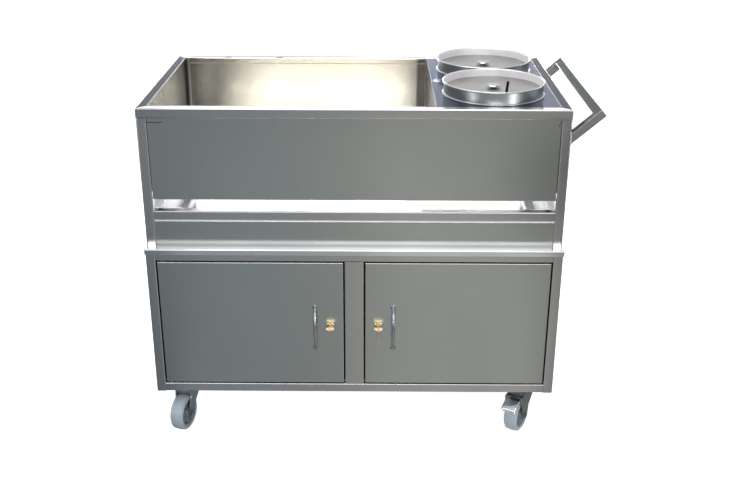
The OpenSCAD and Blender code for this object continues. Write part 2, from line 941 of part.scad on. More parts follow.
// A moulded hub: rim, thin web and boss, bored for the axle
module hub(i) {
    rim_r = wheel_r - tyre_t;
    bore_r = axle_d / 2 + run_gap;
    color(BRIGHT)
        on_caster(i)
            translate([0, -trail, wheel_r])
                rotate([0, 90, 0])
                    rotate_extrude() {
                        translate([rim_r - hub_rim_t, -tyre_w / 2 + hub_rim_inset])
                            square([hub_rim_t, tyre_w - 2 * hub_rim_inset]);
                        translate([hub_boss_r - eps, -hub_web_w / 2])
                            square([rim_r - hub_boss_r, hub_web_w]);
                        translate([bore_r, -hub_boss_w / 2]) square([hub_boss_r - bore_r, hub_boss_w]);
                    }
}

// A tyre with a crowned tread
module tyre(i) {
    rim_r = wheel_r - tyre_t;
    color(TYRE_GREY)
        on_caster(i)
            translate([0, -trail, wheel_r])
                rotate([0, 90, 0])
                    rotate_extrude()
                        intersection() {
                            translate([rim_r, -tyre_w / 2]) square([tyre_t, tyre_w]);
                            union() {
                                translate([rim_r, -tyre_w / 2]) square([tyre_t - tyre_shoulder, tyre_w]);
                                translate([rim_r, -tyre_w / 2 + tyre_shoulder])
                                    square([tyre_t, tyre_w - 2 * tyre_shoulder]);
                                for (x = [-1, 1])
                                    translate([wheel_r - tyre_shoulder, x * (tyre_w / 2 - tyre_shoulder)])
                                        circle(r = tyre_shoulder);
                            }
                        }
}

// A bent foot pedal on a rod through the fork's two legs
module pedal(i) {
    inside = fork_in - face_gap;
    color(BRIGHT)
        on_caster(i)
            translate([0, -trail - pedal_pivot_out, pedal_pivot_z]) {
                translate([-fork_out, 0, 0])
                    rotate([0, 90, 0]) cylinder(r = pedal_pivot_d / 2, h = 2 * fork_out);
                rotate([pedal_slope, 0, 0])
                    block([-inside + pedal_edge, -pedal_l, -pedal_t / 2],
                        [inside - pedal_edge, -pedal_pivot_d / 2, pedal_t / 2]);
                translate([-inside, 0, 0])
                    rotate([0, 90, 0]) cylinder(r = pedal_pivot_d / 2 + pedal_t, h = 2 * inside);
            }
}

module front_left_fork() {
    fork(0, false);
}

module front_right_fork() {
    fork(1, true);
}

module rear_left_fork() {
    fork(2, false);
}

module rear_right_fork() {
    fork(3, true);
}

module front_left_axle() {
    axle(0);
}

module front_right_axle() {
    axle(1);
}

module rear_left_axle() {
    axle(2);
}

module rear_right_axle() {
    axle(3);
}

module front_left_hub() {
    hub(0);
}

module front_right_hub() {
    hub(1);
}

module rear_left_hub() {
    hub(2);
}

module rear_right_hub() {
    hub(3);
}

module front_left_tyre() {
    tyre(0);
}

module front_right_tyre() {
    tyre(1);
}

module rear_left_tyre() {
    tyre(2);
}

module rear_right_tyre() {
    tyre(3);
}

module front_right_pedal() {
    pedal(1);
}

module rear_right_pedal() {
    pedal(3);
}

cabinet_posts();
cabinet_base_rails();
cabinet_head_rails();
centre_stile();
caster_bearers();
cabinet_floor();
cabinet_side_panels();
cabinet_back_panel();
worktop();
upper_posts();
sill_rails();
rim_long_rails();
rim_short_rails();
front_panel();
back_panel();
side_panels();
apron_strips();
well_pan();
pot_deck();
push_handle();
door_pins();
left_door();
left_pull();
left_lock();
left_lock_cam();
left_key();
left_spare_key();
right_door();
right_pull();
right_lock();
right_lock_cam();
right_key();
right_spare_key();
front_pot();
rear_pot();
front_lid();
rear_lid();
front_knob();
rear_knob();
caster_plates();
caster_bolts();
front_left_fork();
front_left_axle();
front_left_hub();
front_left_tyre();
front_right_fork();
front_right_axle();
front_right_hub();
front_right_tyre();
rear_left_fork();
rear_left_axle();
rear_left_hub();
rear_left_tyre();
rear_right_fork();
rear_right_axle();
rear_right_hub();
rear_right_tyre();
front_right_pedal();
rear_right_pedal();
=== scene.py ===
import json
import math
import bmesh
import bpy
from mathutils import Matrix, Vector


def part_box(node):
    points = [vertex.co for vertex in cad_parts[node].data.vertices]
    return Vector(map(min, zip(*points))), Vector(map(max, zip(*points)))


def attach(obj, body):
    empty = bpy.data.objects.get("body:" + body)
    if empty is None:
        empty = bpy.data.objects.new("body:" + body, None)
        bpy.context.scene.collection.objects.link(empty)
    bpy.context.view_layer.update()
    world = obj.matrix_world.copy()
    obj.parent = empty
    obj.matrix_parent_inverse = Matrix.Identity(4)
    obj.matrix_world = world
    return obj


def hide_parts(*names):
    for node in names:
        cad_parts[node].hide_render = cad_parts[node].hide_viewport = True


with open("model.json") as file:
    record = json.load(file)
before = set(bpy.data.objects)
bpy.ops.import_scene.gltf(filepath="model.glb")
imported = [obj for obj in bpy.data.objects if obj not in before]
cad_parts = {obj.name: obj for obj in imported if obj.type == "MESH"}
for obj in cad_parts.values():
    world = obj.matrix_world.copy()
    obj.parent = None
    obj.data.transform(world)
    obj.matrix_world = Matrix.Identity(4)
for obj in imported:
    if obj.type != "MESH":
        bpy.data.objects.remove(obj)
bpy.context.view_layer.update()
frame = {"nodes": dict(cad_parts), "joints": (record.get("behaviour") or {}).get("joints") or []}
MM = 0.001

# ---- Cabinet frame ----
# Four corner posts, the rails between them and the stile between the doors are cut from square
# stainless tube with rounded corners, mitred or butted, welded, and the welds ground flush.
# The whole frame has a brushed mill finish that runs along each tube.

TUBE_WALL = 1.5 * MM
TUBE_CORNER = 3 * MM
EDGE_STEPS = 4


def loft(bm, rings, loop=False, caps=False):
    """Skins a row of rings with equal numbers of points."""
    made = [[bm.verts.new(point) for point in ring] for ring in rings]
    pairs = list(zip(made, made[1:])) + ([(made[-1], made[0])] if loop else [])
    for a, b in pairs:
        for i in range(len(a)):
            j = (i + 1) % len(a)
            bm.faces.new((a[i], a[j], b[j], b[i]))
    if caps:
        bm.faces.new(made[0])
        bm.faces.new(made[-1])
    return made


def round_outline(width, depth, radius, steps=EDGE_STEPS):
    """A rectangle with rounded corners about the origin, as (u, v) points."""
    points = []
    for corner in range(4):
        side_u = 1 if corner in (0, 3) else -1
        side_v = 1 if corner in (0, 1) else -1
        for k in range(steps + 1):
            angle = math.pi / 2 * (corner + k / steps)
            points.append((side_u * (width / 2 - radius) + radius * math.cos(angle),
                           side_v * (depth / 2 - radius) + radius * math.sin(angle)))
    return points


def tube_bar(bm, low, high, along, mitre=None):
    """A hollow bar of rounded tube. mitre is (axis, outer side) when both ends are cut at 45 degrees."""
    u, v = [i for i in range(3) if i != along]
    rings = []
    for inset, ends in ((0, (low, high)), (TUBE_WALL, (high, low))):
        outline = round_outline(high[u] - low[u] - 2 * inset, high[v] - low[v] - 2 * inset,
                                TUBE_CORNER - inset)
        for end in ends:
            inward = 1 if end is low else -1
            ring = []
            for p, q in outline:
                point = (Vector(low) + Vector(high)) / 2
                point[u] += p
                point[v] += q
                point[along] = end[along]
                if mitre:
                    point[along] += inward * abs(point[mitre[0]] - mitre[1])
                ring.append(point)
            rings.append(ring)
    loft(bm, rings, loop=True)


def piece(name, bm, materials, body, stands_for=(), sharp=38):
    """Turns a finished mesh into a named piece on its body, with clean shading over its edges."""
    bmesh.ops.remove_doubles(bm, verts=bm.verts, dist=0.002 * MM)
    bmesh.ops.recalc_face_normals(bm, faces=bm.faces)
    mesh = bpy.data.meshes.new(name)
    bm.to_mesh(mesh)
    bm.free()
    mesh.shade_smooth()
    mesh.set_sharp_from_angle(angle=math.radians(sharp))
    for material in materials if isinstance(materials, list) else [materials]:
        mesh.materials.append(material)
    obj = bpy.data.objects.new(name, mesh)
    bpy.context.scene.collection.objects.link(obj)
    even = obj.modifiers.new("even_faces", "WEIGHTED_NORMAL")
    even.keep_sharp = True
    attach(obj, body)
    if stands_for:
        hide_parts(*stands_for)
    return obj


FINISH = [("Color", "Color"), ("Roughness", "Float"), ("Normal", "Vector")]


def add_node(tree, kind, sockets=None, **settings):
    """Adds a shader node, sets its options, and sets or links its inputs."""
    made = tree.nodes.new("ShaderNode" + kind)
    for key, value in settings.items():
        setattr(made, key, value)
    for key, value in (sockets or {}).items():
        if isinstance(value, bpy.types.NodeSocket):
            tree.links.new(value, made.inputs[key])
        else:
            made.inputs[key].default_value = value
    return made


def new_group(name, inputs, outputs):
    """An empty node group with its named sockets, and its two end nodes."""
    group = bpy.data.node_groups.new(name, "ShaderNodeTree")
    for label, kind in inputs:
        group.interface.new_socket(label, in_out="INPUT", socket_type="NodeSocket" + kind)
    for label, kind in outputs:
        group.interface.new_socket(label, in_out="OUTPUT", socket_type="NodeSocket" + kind)
    return group, group.nodes.new("NodeGroupInput").outputs, group.nodes.new("NodeGroupOutput").inputs


def give(group, result, colour, rough, relief):
    """Hands a finish group's colour, roughness and relief to its end node."""
    group.links.new(colour, result["Color"])
    group.links.new(rough.outputs[0], result["Roughness"])
    group.links.new(relief.outputs[0], result["Normal"])


def brushed_finish():
    """Brushed sheet: fine grain, slow cloudy wear and the slight waves of thin sheet."""
    group, given, result = new_group(
        "brushed_finish",
        [("Steel", "Color"), ("Worn", "Color"), ("Grain", "Vector"), ("Grain Depth", "Float"),
         ("Wave Depth", "Float"), ("Polish", "Float"), ("Dull", "Float")], FINISH)
    place = add_node(group, "TexCoord").outputs["Object"]
    drawn = add_node(group, "VectorMath", {0: place, 1: given["Grain"]}, operation="MULTIPLY")
    grain = add_node(group, "TexNoise", {"Vector": drawn.outputs[0], "Scale": 1.0, "Detail": 3.0})
    cloud = add_node(group, "TexNoise", {"Vector": place, "Scale": 3.2, "Detail": 2.0})
    waves = add_node(group, "TexNoise", {"Vector": place, "Scale": 3.1, "Detail": 0.5})
    worn = add_node(group, "MapRange",
                    {"Value": cloud.outputs[0], "From Min": 0.25, "From Max": 0.75})
    streak = add_node(group, "Math", {0: grain.outputs[0], 1: 0.3, 2: -0.15}, operation="MULTIPLY_ADD")
    tone = add_node(group, "Math", {0: worn.outputs[0], 1: streak.outputs[0]}, operation="ADD",
                    use_clamp=True)
    colour = add_node(group, "Mix", {0: tone.outputs[0], 6: given["Steel"], 7: given["Worn"]},
                      data_type="RGBA")
    rough = add_node(group, "MapRange",
                     {"Value": worn.outputs[0], "To Min": given["Polish"], "To Max": given["Dull"]})
    waved = add_node(group, "Bump", {"Height": waves.outputs[0], "Distance": given["Wave Depth"]})
    brushed = add_node(group, "Bump", {"Height": grain.outputs[0], "Distance": given["Grain Depth"],
                                       "Normal": waved.outputs[0]})
    give(group, result, colour.outputs[2], rough, brushed)
    return group


BRUSHED = brushed_finish()
FINE, LONG = 620.0, 7.0
GRAIN_X = (LONG, FINE, FINE)
GRAIN_Y = (FINE, LONG, FINE)
GRAIN_Z = (FINE, FINE, LONG)


def finished(name, group, values, metallic=1.0):
    """A material whose colour, roughness and relief come from one finish group."""
    material = bpy.data.materials.new(name)
    material.use_nodes = True
    tree = material.node_tree
    shader = tree.nodes["Principled BSDF"]
    shader.inputs["Metallic"].default_value = metallic
    finish = add_node(tree, "Group", values, node_tree=group)
    for given, socket in (("Color", "Base Color"), ("Roughness", "Roughness"), ("Normal", "Normal")):
        tree.links.new(finish.outputs[given], shader.inputs[socket])
    return material


def steel(name, colour, worn, grain, polish, dull, grain_depth=0.006 * MM, wave_depth=0.0, metallic=1.0):
    """Stainless steel with a brushed finish; grain says along which axis the lines run."""
    return finished(name, BRUSHED, {"Steel": (*colour, 1), "Worn": (*worn, 1), "Grain": grain,
                                    "Grain Depth": grain_depth, "Wave Depth": wave_depth,
                                    "Polish": polish, "Dull": dull}, metallic)


FRAME_TONE, FRAME_WORN = (0.63, 0.62, 0.62), (0.57, 0.56, 0.57)
frame_upright = steel("brushed_frame_upright", FRAME_TONE, FRAME_WORN, GRAIN_Z, 0.22, 0.3)
frame_level = steel("brushed_frame_level", FRAME_TONE, FRAME_WORN, GRAIN_X, 0.22, 0.3)

post_low, post_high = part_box("cabinet_posts")
stile_low, stile_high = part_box("centre_stile")
tube = stile_high.y - stile_low.y
left_x, right_x, front_y, back_y = post_low.x, post_high.x, post_low.y, post_high.y
in_left, in_right, in_front, in_back = left_x + tube, right_x - tube, front_y + tube, back_y - tube
mid_x = (left_x + right_x) / 2

bm = bmesh.new()
for x in (left_x, in_right):
    for y in (front_y, in_back):
        tube_bar(bm, (x, y, post_low.z), (x + tube, y + tube, post_high.z), 2)
piece("cabinet_corner_posts", bm, frame_upright, "cart", ["cabinet_posts"])

for made_name, node in (("cabinet_base_frame", "cabinet_base_rails"),
                        ("cabinet_head_frame", "cabinet_head_rails")):
    low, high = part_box(node)
    bm = bmesh.new()
    for y in (front_y, in_back):
        tube_bar(bm, (in_left, y, low.z), (in_right, y + tube, high.z), 0)
    for x in (left_x, in_right):
        tube_bar(bm, (x, in_front, low.z), (x + tube, in_back, high.z), 1)
    piece(made_name, bm, frame_level, "cart", [node])

bm = bmesh.new()
tube_bar(bm, stile_low, stile_high, 2)
piece("middle_stile", bm, frame_upright, "cart", ["centre_stile"])

# ---- Bearers and cabinet floor ----
# Two folded channels lie on their backs between the base rails and carry the casters.
# The cabinet floor is one flat sheet with its corners notched round the posts.


def dress(node, material):
    """Gives a CAD part that is shown as it is its finish."""
    slots = frame["nodes"][node].data.materials
    slots.clear()
    slots.append(material)


dress("caster_bearers", steel("mill_channel", (0.40, 0.41, 0.42), (0.30, 0.31, 0.32), GRAIN_Y, 0.4, 0.6))
dress("cabinet_floor", steel("mill_floor_sheet", (0.58, 0.58, 0.59), (0.44, 0.44, 0.45), GRAIN_X, 0.3, 0.5,
                             wave_depth=0.6 * MM))

# ---- Casters ----
# Each caster is a pressed and zinc plated fork on a ball race under a bolted top plate, with a
# ribbed plastic hub on a hexagon bolt. The soft grey tyre is moulded round the hub.

JOINTS = {joint["name"]: joint for joint in frame["joints"]}
PLATE_HOLE_R = 6.2 * MM
HEAD_R = 32 * MM
FORK_SHEET = 3 * MM
FORK_BEND = 5 * MM
EYE_R = 13 * MM
FORK_NOSE = 24 * MM
AXLE_R = 5 * MM
BOSS_R = 11 * MM
HUB_WEB = 2.6 * MM
HUB_EDGE = 3.5 * MM
PIVOT_OUT = 20 * MM
BRIDGE_GAP = 16 * MM
BRIDGE_LIP = 10 * MM
NUT_R = 8 * MM
NUT_H = 5 * MM
WASHER_R = 9.5 * MM
WASHER_H = 1.2 * MM
TYRE_T = 12 * MM
TYRE_SHOULDER = 7.5 * MM
HUB_RIBS = 6
PEDAL_ROD_R = 3 * MM
PEDAL_SLOPE = math.radians(18)


def plated_finish():
    """Plated or moulded small parts: fine speckle, cloudy tone and grime in the finish."""
    group, given, result = new_group(
        "plated_finish",
        [("Clean", "Color"), ("Grimy", "Color"), ("Smooth", "Float"), ("Rough", "Float")], FINISH)
    place = add_node(group, "TexCoord").outputs["Object"]
    cloud = add_node(group, "TexNoise", {"Vector": place, "Scale": 38.0, "Detail": 4.0})
    fine = add_node(group, "TexNoise", {"Vector": place, "Scale": 900.0, "Detail": 2.0})
    tone = add_node(group, "MapRange", {"Value": cloud.outputs[0], "From Min": 0.35, "From Max": 0.7})
    mixed = add_node(group, "Mix", {0: tone.outputs[0], 6: given["Clean"], 7: given["Grimy"]},
                     data_type="RGBA")
    sheen = add_node(group, "MapRange",
                     {"Value": cloud.outputs[0], "To Min": given["Smooth"], "To Max": given["Rough"]})
    bump = add_node(group, "Bump", {"Height": fine.outputs[0], "Distance": 0.01 * MM})
    give(group, result, mixed.outputs[2], sheen, bump)
    return group


PLATED = plated_finish()


def turned(colour, name, speckle, rough, metallic):
    """A plated, cast or moulded material, speckled by a share of its colour."""
    grimy = [channel * (1 - speckle) for channel in colour]
    return finished(name, PLATED, {"Clean": (*colour, 1), "Grimy": (*grimy, 1), "Smooth": rough * 0.75,
                                   "Rough": rough * 1.25}, metallic)


zinc = turned((0.36, 0.40, 0.42), "zinc_plate", 0.25, 0.36, 1.0)
chrome = turned((0.72, 0.75, 0.80), "chrome_plate", 0.12, 0.1, 1.0)
hub_plastic = turned((0.30, 0.34, 0.36), "hub_plastic", 0.2, 0.45, 0.0)
tyre_rubber = turned((0.44, 0.51, 0.57), "tyre_rubber", 0.12, 0.28, 0.0)


def spread(node, direction):
    """How far a CAD node reaches along a direction, lowest and highest."""
    reach = [v.co.dot(direction) for v in frame["nodes"][node].data.vertices]
    return min(reach), max(reach)


def soften(points, radius, closed=True, steps=3):
    """Replaces each corner of an outline by a small arc."""
    rounded = []
    for i, point in enumerate(points):
        if not closed and i in (0, len(points) - 1):
            rounded.append(tuple(point))
            continue
        corner = Vector(point)
        before = Vector(points[i - 1]) - corner
        after = Vector(points[(i + 1) % len(points)]) - corner
        cut = radius / max(math.tan(before.angle(after) / 2), 0.05)
        start = corner + before.normalized() * min(cut, 0.48 * before.length)
        end = corner + after.normalized() * min(cut, 0.48 * after.length)
        for k in range(steps + 1):
            t = k / steps
            rounded.append(tuple(start * (1 - t) ** 2 + corner * 2 * t * (1 - t) + end * t ** 2))
    return rounded


def lathe(bm, profile, place, segments=64, loop=True):
    """Turns (radius, height) points round the Z axis of place."""
    rings = []
    for radius, height in profile:
        rings.append([place @ Vector((radius * math.cos(2 * math.pi * i / segments),
                                      radius * math.sin(2 * math.pi * i / segments), height))
                      for i in range(segments)])
    return loft(bm, rings, loop=loop)


def hex_head(bm, place, radius, height):
    """A hexagon head or nut with its outer corners chamfered, standing on place."""
    chamfer = 0.12 * height
    rings = []
    for scale, level in ((0.9, 0), (1, chamfer), (1, height - chamfer), (0.88, height)):
        rings.append([place @ Vector((radius * scale * math.cos(math.pi / 3 * i),
                                      radius * scale * math.sin(math.pi / 3 * i), level)) for i in range(6)])
    loft(bm, rings, caps=True)


def box_block(bm, place, low, high, bevel):
    """A block from corner low to corner high in the frame of place, with its edges broken."""
    size = Vector(high) - Vector(low)
    middle = (Vector(high) + Vector(low)) / 2
    shape = place @ Matrix.Translation(middle) @ Matrix.Diagonal((*size, 1))
    made = bmesh.ops.create_cube(bm, size=1, matrix=shape)
    edges = {edge for vert in made["verts"] for edge in vert.link_edges}
    bmesh.ops.bevel(bm, geom=list(edges), offset=bevel, segments=2, profile=0.5, affect="EDGES")


def fork_sheet(bm, place, half, wheel_r, trail, top, rear):
    """The fork's pressed sheet: up one leg, over the bridge and down the other."""
    middle = -trail
    rows = []
    for k in range(7):
        angle = math.pi / 2 * (k / 6 - 1)
        rows.append((half, wheel_r + EYE_R * math.sin(angle),
                     middle - EYE_R * math.cos(angle), middle + EYE_R * math.cos(angle)))
    for k in range(1, 11):
        t = k / 10
        ease = t * t * (3 - 2 * t)
        back = middle - EYE_R + (rear - middle + EYE_R) * ease
        nose = middle + EYE_R + (FORK_NOSE - middle - EYE_R) * ease
        rows.append((half, wheel_r + (top - FORK_BEND - wheel_r) * t, back, nose))
    for k in range(1, 6):
        angle = math.pi / 2 * k / 5
        rows.append((half - FORK_BEND * (1 - math.cos(angle)), top - FORK_BEND * (1 - math.sin(angle)),
                     max(rear, middle) if k > 2 else rear, FORK_NOSE))
    rows.append((half / 3, top, max(rear, middle), FORK_NOSE))
    mirrored = [(-x, z, back, nose) for x, z, back, nose in reversed(rows)]
    columns = 5
    grid = [[bm.verts.new(place @ Vector((x, back + (nose - back) * c / columns, z)))
             for c in range(columns + 1)]
            for x, z, back, nose in rows + mirrored]
    for a, b in zip(grid, grid[1:]):
        for c in range(columns):
            bm.faces.new((a[c], a[c + 1], b[c + 1], b[c]))


def thicken(obj, amount, edge):
    """Gives a bent sheet its thickness and broken edges."""
    wall = obj.modifiers.new("sheet_thickness", "SOLIDIFY")
    wall.thickness = amount
    wall.offset = 0
    wall.use_even_offset = True
    broken = obj.modifiers.new("broken_edges", "BEVEL")
    broken.width = edge
    broken.segments = 2
    broken.limit_method = "ANGLE"
    broken.angle_limit = math.radians(50)
    obj.modifiers.move(0, len(obj.modifiers) - 1)


def make_caster(corner, braked):
    """One caster: fork and swivel head, axle bolt, hub, tyre and, on the handle's end, a brake pedal."""
    swivel = Vector(JOINTS[corner + "_swivel"]["pos_m"])
    roll = Vector(JOINTS[corner + "_roll"]["pos_m"])
    across = Vector(JOINTS[corner + "_roll"]["axis"])
    place = (Matrix.Translation((swivel.x, swivel.y, 0))
             @ Matrix.Rotation(math.atan2(across.y, across.x), 4, "Z"))
    wheel_r = roll.z
    trail = (roll - swivel).xy.length
    out_low, out_high = spread(corner + "_axle", across)
    half_axle = (out_high - out_low) / 2 - NUT_H
    tyre_low, tyre_high = spread(corner + "_tyre", across)
    half_tyre = (tyre_high - tyre_low) / 2
    head_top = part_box(corner + "_fork")[1].z
    bridge_top = 2 * wheel_r + BRIDGE_GAP
    body = corner + "_caster"
    rear = -trail - PIVOT_OUT - 8 * MM if braked else -trail + 6 * MM

    bm = bmesh.new()
    fork_sheet(bm, place, half_axle - FORK_SHEET / 2, wheel_r, trail, bridge_top - FORK_SHEET / 2, rear)
    lip_edge = max(rear, -trail)
    box_block(bm, place, (-half_axle + FORK_BEND, lip_edge, bridge_top - BRIDGE_LIP),
              (half_axle - FORK_BEND, lip_edge + 0.4 * MM, bridge_top - FORK_SHEET), 0.1 * MM)
    fork = piece(corner + "_pressed_fork", bm, zinc, body, [corner + "_fork"])
    thicken(fork, FORK_SHEET, 0.7 * MM)

    bm = bmesh.new()
    profile = soften([(PLATE_HOLE_R, bridge_top), (HEAD_R - 1 * MM, bridge_top), (HEAD_R, bridge_top + 2 * MM),
                      (HEAD_R, head_top - 3 * MM), (HEAD_R - 4 * MM, head_top), (PLATE_HOLE_R, head_top)],
                     1 * MM)
    lathe(bm, profile, place)
    piece(corner + "_swivel_head", bm, zinc, body)

    bm = bmesh.new()
    axle_place = place @ Matrix.Translation((0, -trail, wheel_r)) @ Matrix.Rotation(math.pi / 2, 4, "Y")
    shank = [(0, -half_axle), (AXLE_R, -half_axle), (AXLE_R, half_axle), (0, half_axle)]
    lathe(bm, shank, axle_place, 32, loop=False)
    for side in (-1, 1):
        turned_out = Matrix.Rotation(0 if side > 0 else math.pi, 4, "X")
        seat = axle_place @ turned_out @ Matrix.Translation((0, 0, half_axle))
        washer = [(AXLE_R - 1 * MM, 0), (WASHER_R, 0), (WASHER_R, WASHER_H), (AXLE_R - 1 * MM, WASHER_H)]
        lathe(bm, soften(washer, 0.3 * MM), seat, 32)
        hex_head(bm, seat @ Matrix.Translation((0, 0, WASHER_H)), NUT_R, NUT_H - WASHER_H)
    piece(corner + "_axle_bolt", bm, zinc, body, [corner + "_axle"])

    rim_r = wheel_r - TYRE_T
    boss_w = half_axle - FORK_SHEET - 1 * MM
    rim_w = half_tyre - 2 * MM
    bore_r = AXLE_R + 0.1 * MM
    bm = bmesh.new()
    half_hub = [(rim_r, rim_w), (rim_r - HUB_EDGE, rim_w - 0.6 * MM), (rim_r - HUB_EDGE - 1 * MM, HUB_WEB),
                (BOSS_R + 1 * MM, HUB_WEB), (BOSS_R, boss_w), (bore_r, boss_w)]
    profile = soften([(rim_r, -rim_w)] + half_hub + [(r, -w) for r, w in reversed(half_hub[1:])], 0.9 * MM)
    lathe(bm, profile, axle_place, 72)
    for rib in range(HUB_RIBS):
        spoke = axle_place @ Matrix.Rotation(2 * math.pi * rib / HUB_RIBS, 4, "Z")
        for side in (-1, 1):
            low, high = sorted((side * (HUB_WEB - 0.4 * MM), side * (rim_w - HUB_EDGE)))
            box_block(bm, spoke, (10 * MM, -1.3 * MM, low), (rim_r - 3.8 * MM, 1.3 * MM, high), 0.5 * MM)
    piece(corner + "_ribbed_hub", bm, hub_plastic, corner + "_wheel", [corner + "_hub"])

    bm = bmesh.new()
    half_section = [(wheel_r - 1.6 * MM, half_tyre - 4.2 * MM), (wheel_r - TYRE_SHOULDER, half_tyre),
                    (rim_r + 2.4 * MM, half_tyre - 0.2 * MM), (rim_r, half_tyre - 1.2 * MM)]
    profile = soften([(r, -w) for r, w in reversed(half_section)] + [(wheel_r, 0)] + half_section,
                     3.2 * MM, steps=5)
    lathe(bm, profile, axle_place, 96)
    piece(corner + "_soft_tyre", bm, tyre_rubber, corner + "_wheel", [corner + "_tyre"])

    if braked:
        make_pedal(corner, place, trail + PIVOT_OUT, Vector(JOINTS[corner + "_brake_press"]["pos_m"]).z,
                   half_axle - FORK_SHEET)


def make_pedal(corner, place, out, level, half):
    """A pedal bent from chromed sheet round a rod through the fork's legs, with turned-down sides."""
    hinge = place @ Matrix.Translation((0, -out, level))
    side_r = PEDAL_ROD_R + 2 * MM
    bm = bmesh.new()
    rod_place = hinge @ Matrix.Rotation(math.pi / 2, 4, "Y")
    reach = half + FORK_SHEET
    lathe(bm, [(0, -reach), (PEDAL_ROD_R, -reach), (PEDAL_ROD_R, reach), (0, reach)], rod_place, 32, loop=False)
    inner = half - 0.3 * MM
    lathe(bm, [(PEDAL_ROD_R, -inner), (side_r, -inner), (side_r, inner), (PEDAL_ROD_R, inner)], rod_place, 40)
    piece(corner + "_pedal_rod", bm, zinc, corner + "_brake")
    tilt = hinge @ Matrix.Rotation(PEDAL_SLOPE, 4, "X")
    half_w = inner - 1.4 * MM
    flange = 5 * MM
    path = soften([(-2 * MM, 3.6 * MM), (-12 * MM, 3.2 * MM), (-34 * MM, 1.5 * MM), (-46 * MM, -0.5 * MM),
                   (-50.5 * MM, -4.5 * MM)], 5 * MM, closed=False, steps=5)
    bm = bmesh.new()
    rows = []
    for out_y, up_z in path:
        taper = min(1, 1 + 0.004 * (out_y / MM + 30)) if out_y < -30 * MM else 1
        half_here = half_w * taper
        depth = flange * max(0.25, 1 + out_y / (58 * MM))
        section = soften([(-half_here, -depth), (-half_here, 0), (half_here, 0), (half_here, -depth)],
                         3 * MM, closed=False, steps=4)
        rows.append([bm.verts.new(tilt @ Vector((x, out_y, up_z + drop))) for x, drop in section])
    for a, b in zip(rows, rows[1:]):
        for i in range(len(a) - 1):
            bm.faces.new((a[i], a[i + 1], b[i + 1], b[i]))
    pedal = piece(corner + "_foot_pedal", bm, chrome, corner + "_brake", [corner + "_pedal"])
    thicken(pedal, 1.6 * MM, 0.4 * MM)


dress("caster_plates", zinc)
dress("caster_bolts", zinc)
for corner in ("front_left", "front_right", "rear_left", "rear_right"):
    make_caster(corner, corner + "_brake_press" in JOINTS)

# ---- Cabinet panels ----
# The sides and the back of the cabinet are closed by flat sheets set just behind the faces of
# the frame and stitched to it from inside.

PANEL_TONE, PANEL_WORN = (0.56, 0.585, 0.565), (0.51, 0.53, 0.515)
panel_level = steel("brushed_panel_level", PANEL_TONE, PANEL_WORN, GRAIN_X, 0.24, 0.3, wave_depth=0.6 * MM)
panel_side = steel("brushed_panel_side", PANEL_TONE, PANEL_WORN, GRAIN_Y, 0.24, 0.3, wave_depth=0.6 * MM)


def sheet_block(bm, low, high, edge=0.35 * MM):
    """A flat sheet with broken edges."""
    box_block(bm, Matrix.Identity(4), low, high, edge)


low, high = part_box("cabinet_side_panels")
SHEET = 1.2 * MM
bm = bmesh.new()
for x in (low.x, high.x - SHEET):
    sheet_block(bm, (x, low.y, low.z), (x + SHEET, high.y, high.z))
piece("cabinet_side_sheets", bm, panel_side, "cart", ["cabinet_side_panels"])
bm = bmesh.new()
sheet_block(bm, *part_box("cabinet_back_panel"))
piece("cabinet_back_sheet", bm, panel_level, "cart", ["cabinet_back_panel"])

# ---- Doors ----
# Each door is a shallow pan folded from one sheet, its corners closed by welding. A short bush at
# the top and bottom of its outer edge turns on a pin fixed in the rail.

DOOR_BEND = 2.6 * MM
DOOR_CORNER = 1.6 * MM
BUSH_BORE = 4.05 * MM
BUSH_R = 6.8 * MM
BUSH_L = 14 * MM


def folded_pan(bm, low, high, axis, mouth, wall, flat_wall, corner, bend):
    """One sheet folded to a pan along an axis: closed at one level and open at its mouth."""
    u, v = [i for i in range(3) if i != axis]
    closed = high[axis] if mouth == low[axis] else low[axis]
    inward = 1 if mouth > closed else -1
    steps = 4
    levels = []
    for k in range(steps + 1):
        angle = math.pi / 2 * k / steps
        levels.append((bend * (1 - math.sin(angle)), closed + inward * bend * (1 - math.cos(angle))))
    levels.append((0, mouth))
    levels.append((wall, mouth))
    tight = max(bend - wall, 0.3 * MM)
    for k in range(steps, -1, -1):
        angle = math.pi / 2 * k / steps
        levels.append((wall + tight * (1 - math.sin(angle)),
                       closed + inward * (flat_wall + tight * (1 - math.cos(angle)))))
    rings = []
    for inset, level in levels:
        ring = []
        for p, q in round_outline(high[u] - low[u] - 2 * inset, high[v] - low[v] - 2 * inset,
                                  max(corner - inset, 0.25 * MM)):
            point = (Vector(low) + Vector(high)) / 2
            point[u] += p
            point[v] += q
            point[axis] = level
            ring.append(point)
        rings.append(ring)
    loft(bm, rings, caps=True)


for side in ("left", "right"):
    low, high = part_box(side + "_door")
    pivot = Vector(JOINTS[side + "_door_swing"]["pos_m"])
    bm = bmesh.new()
    folded_pan(bm, low, high, 1, high.y, SHEET, SHEET, DOOR_CORNER, DOOR_BEND)
    for level in (low.z, high.z - BUSH_L):
        lathe(bm, [(BUSH_BORE, 0), (BUSH_R, 0), (BUSH_R, BUSH_L), (BUSH_BORE, BUSH_L)],
              Matrix.Translation((pivot.x, pivot.y, level)), 32)
    piece(side + "_door_pan", bm, panel_level, side + "_door", [side + "_door"])
dress("door_pins", zinc)

# ---- Pulls ----
# A pull is a bright round bar, bowed outward, with a flared foot at each end that is screwed
# on from inside the door.

PULL_FOOT_R = 8 * MM
PULL_FOOT_H = 3 * MM
polished = turned((0.42, 0.47, 0.51), "polished_steel", 0.1, 0.26, 1.0)


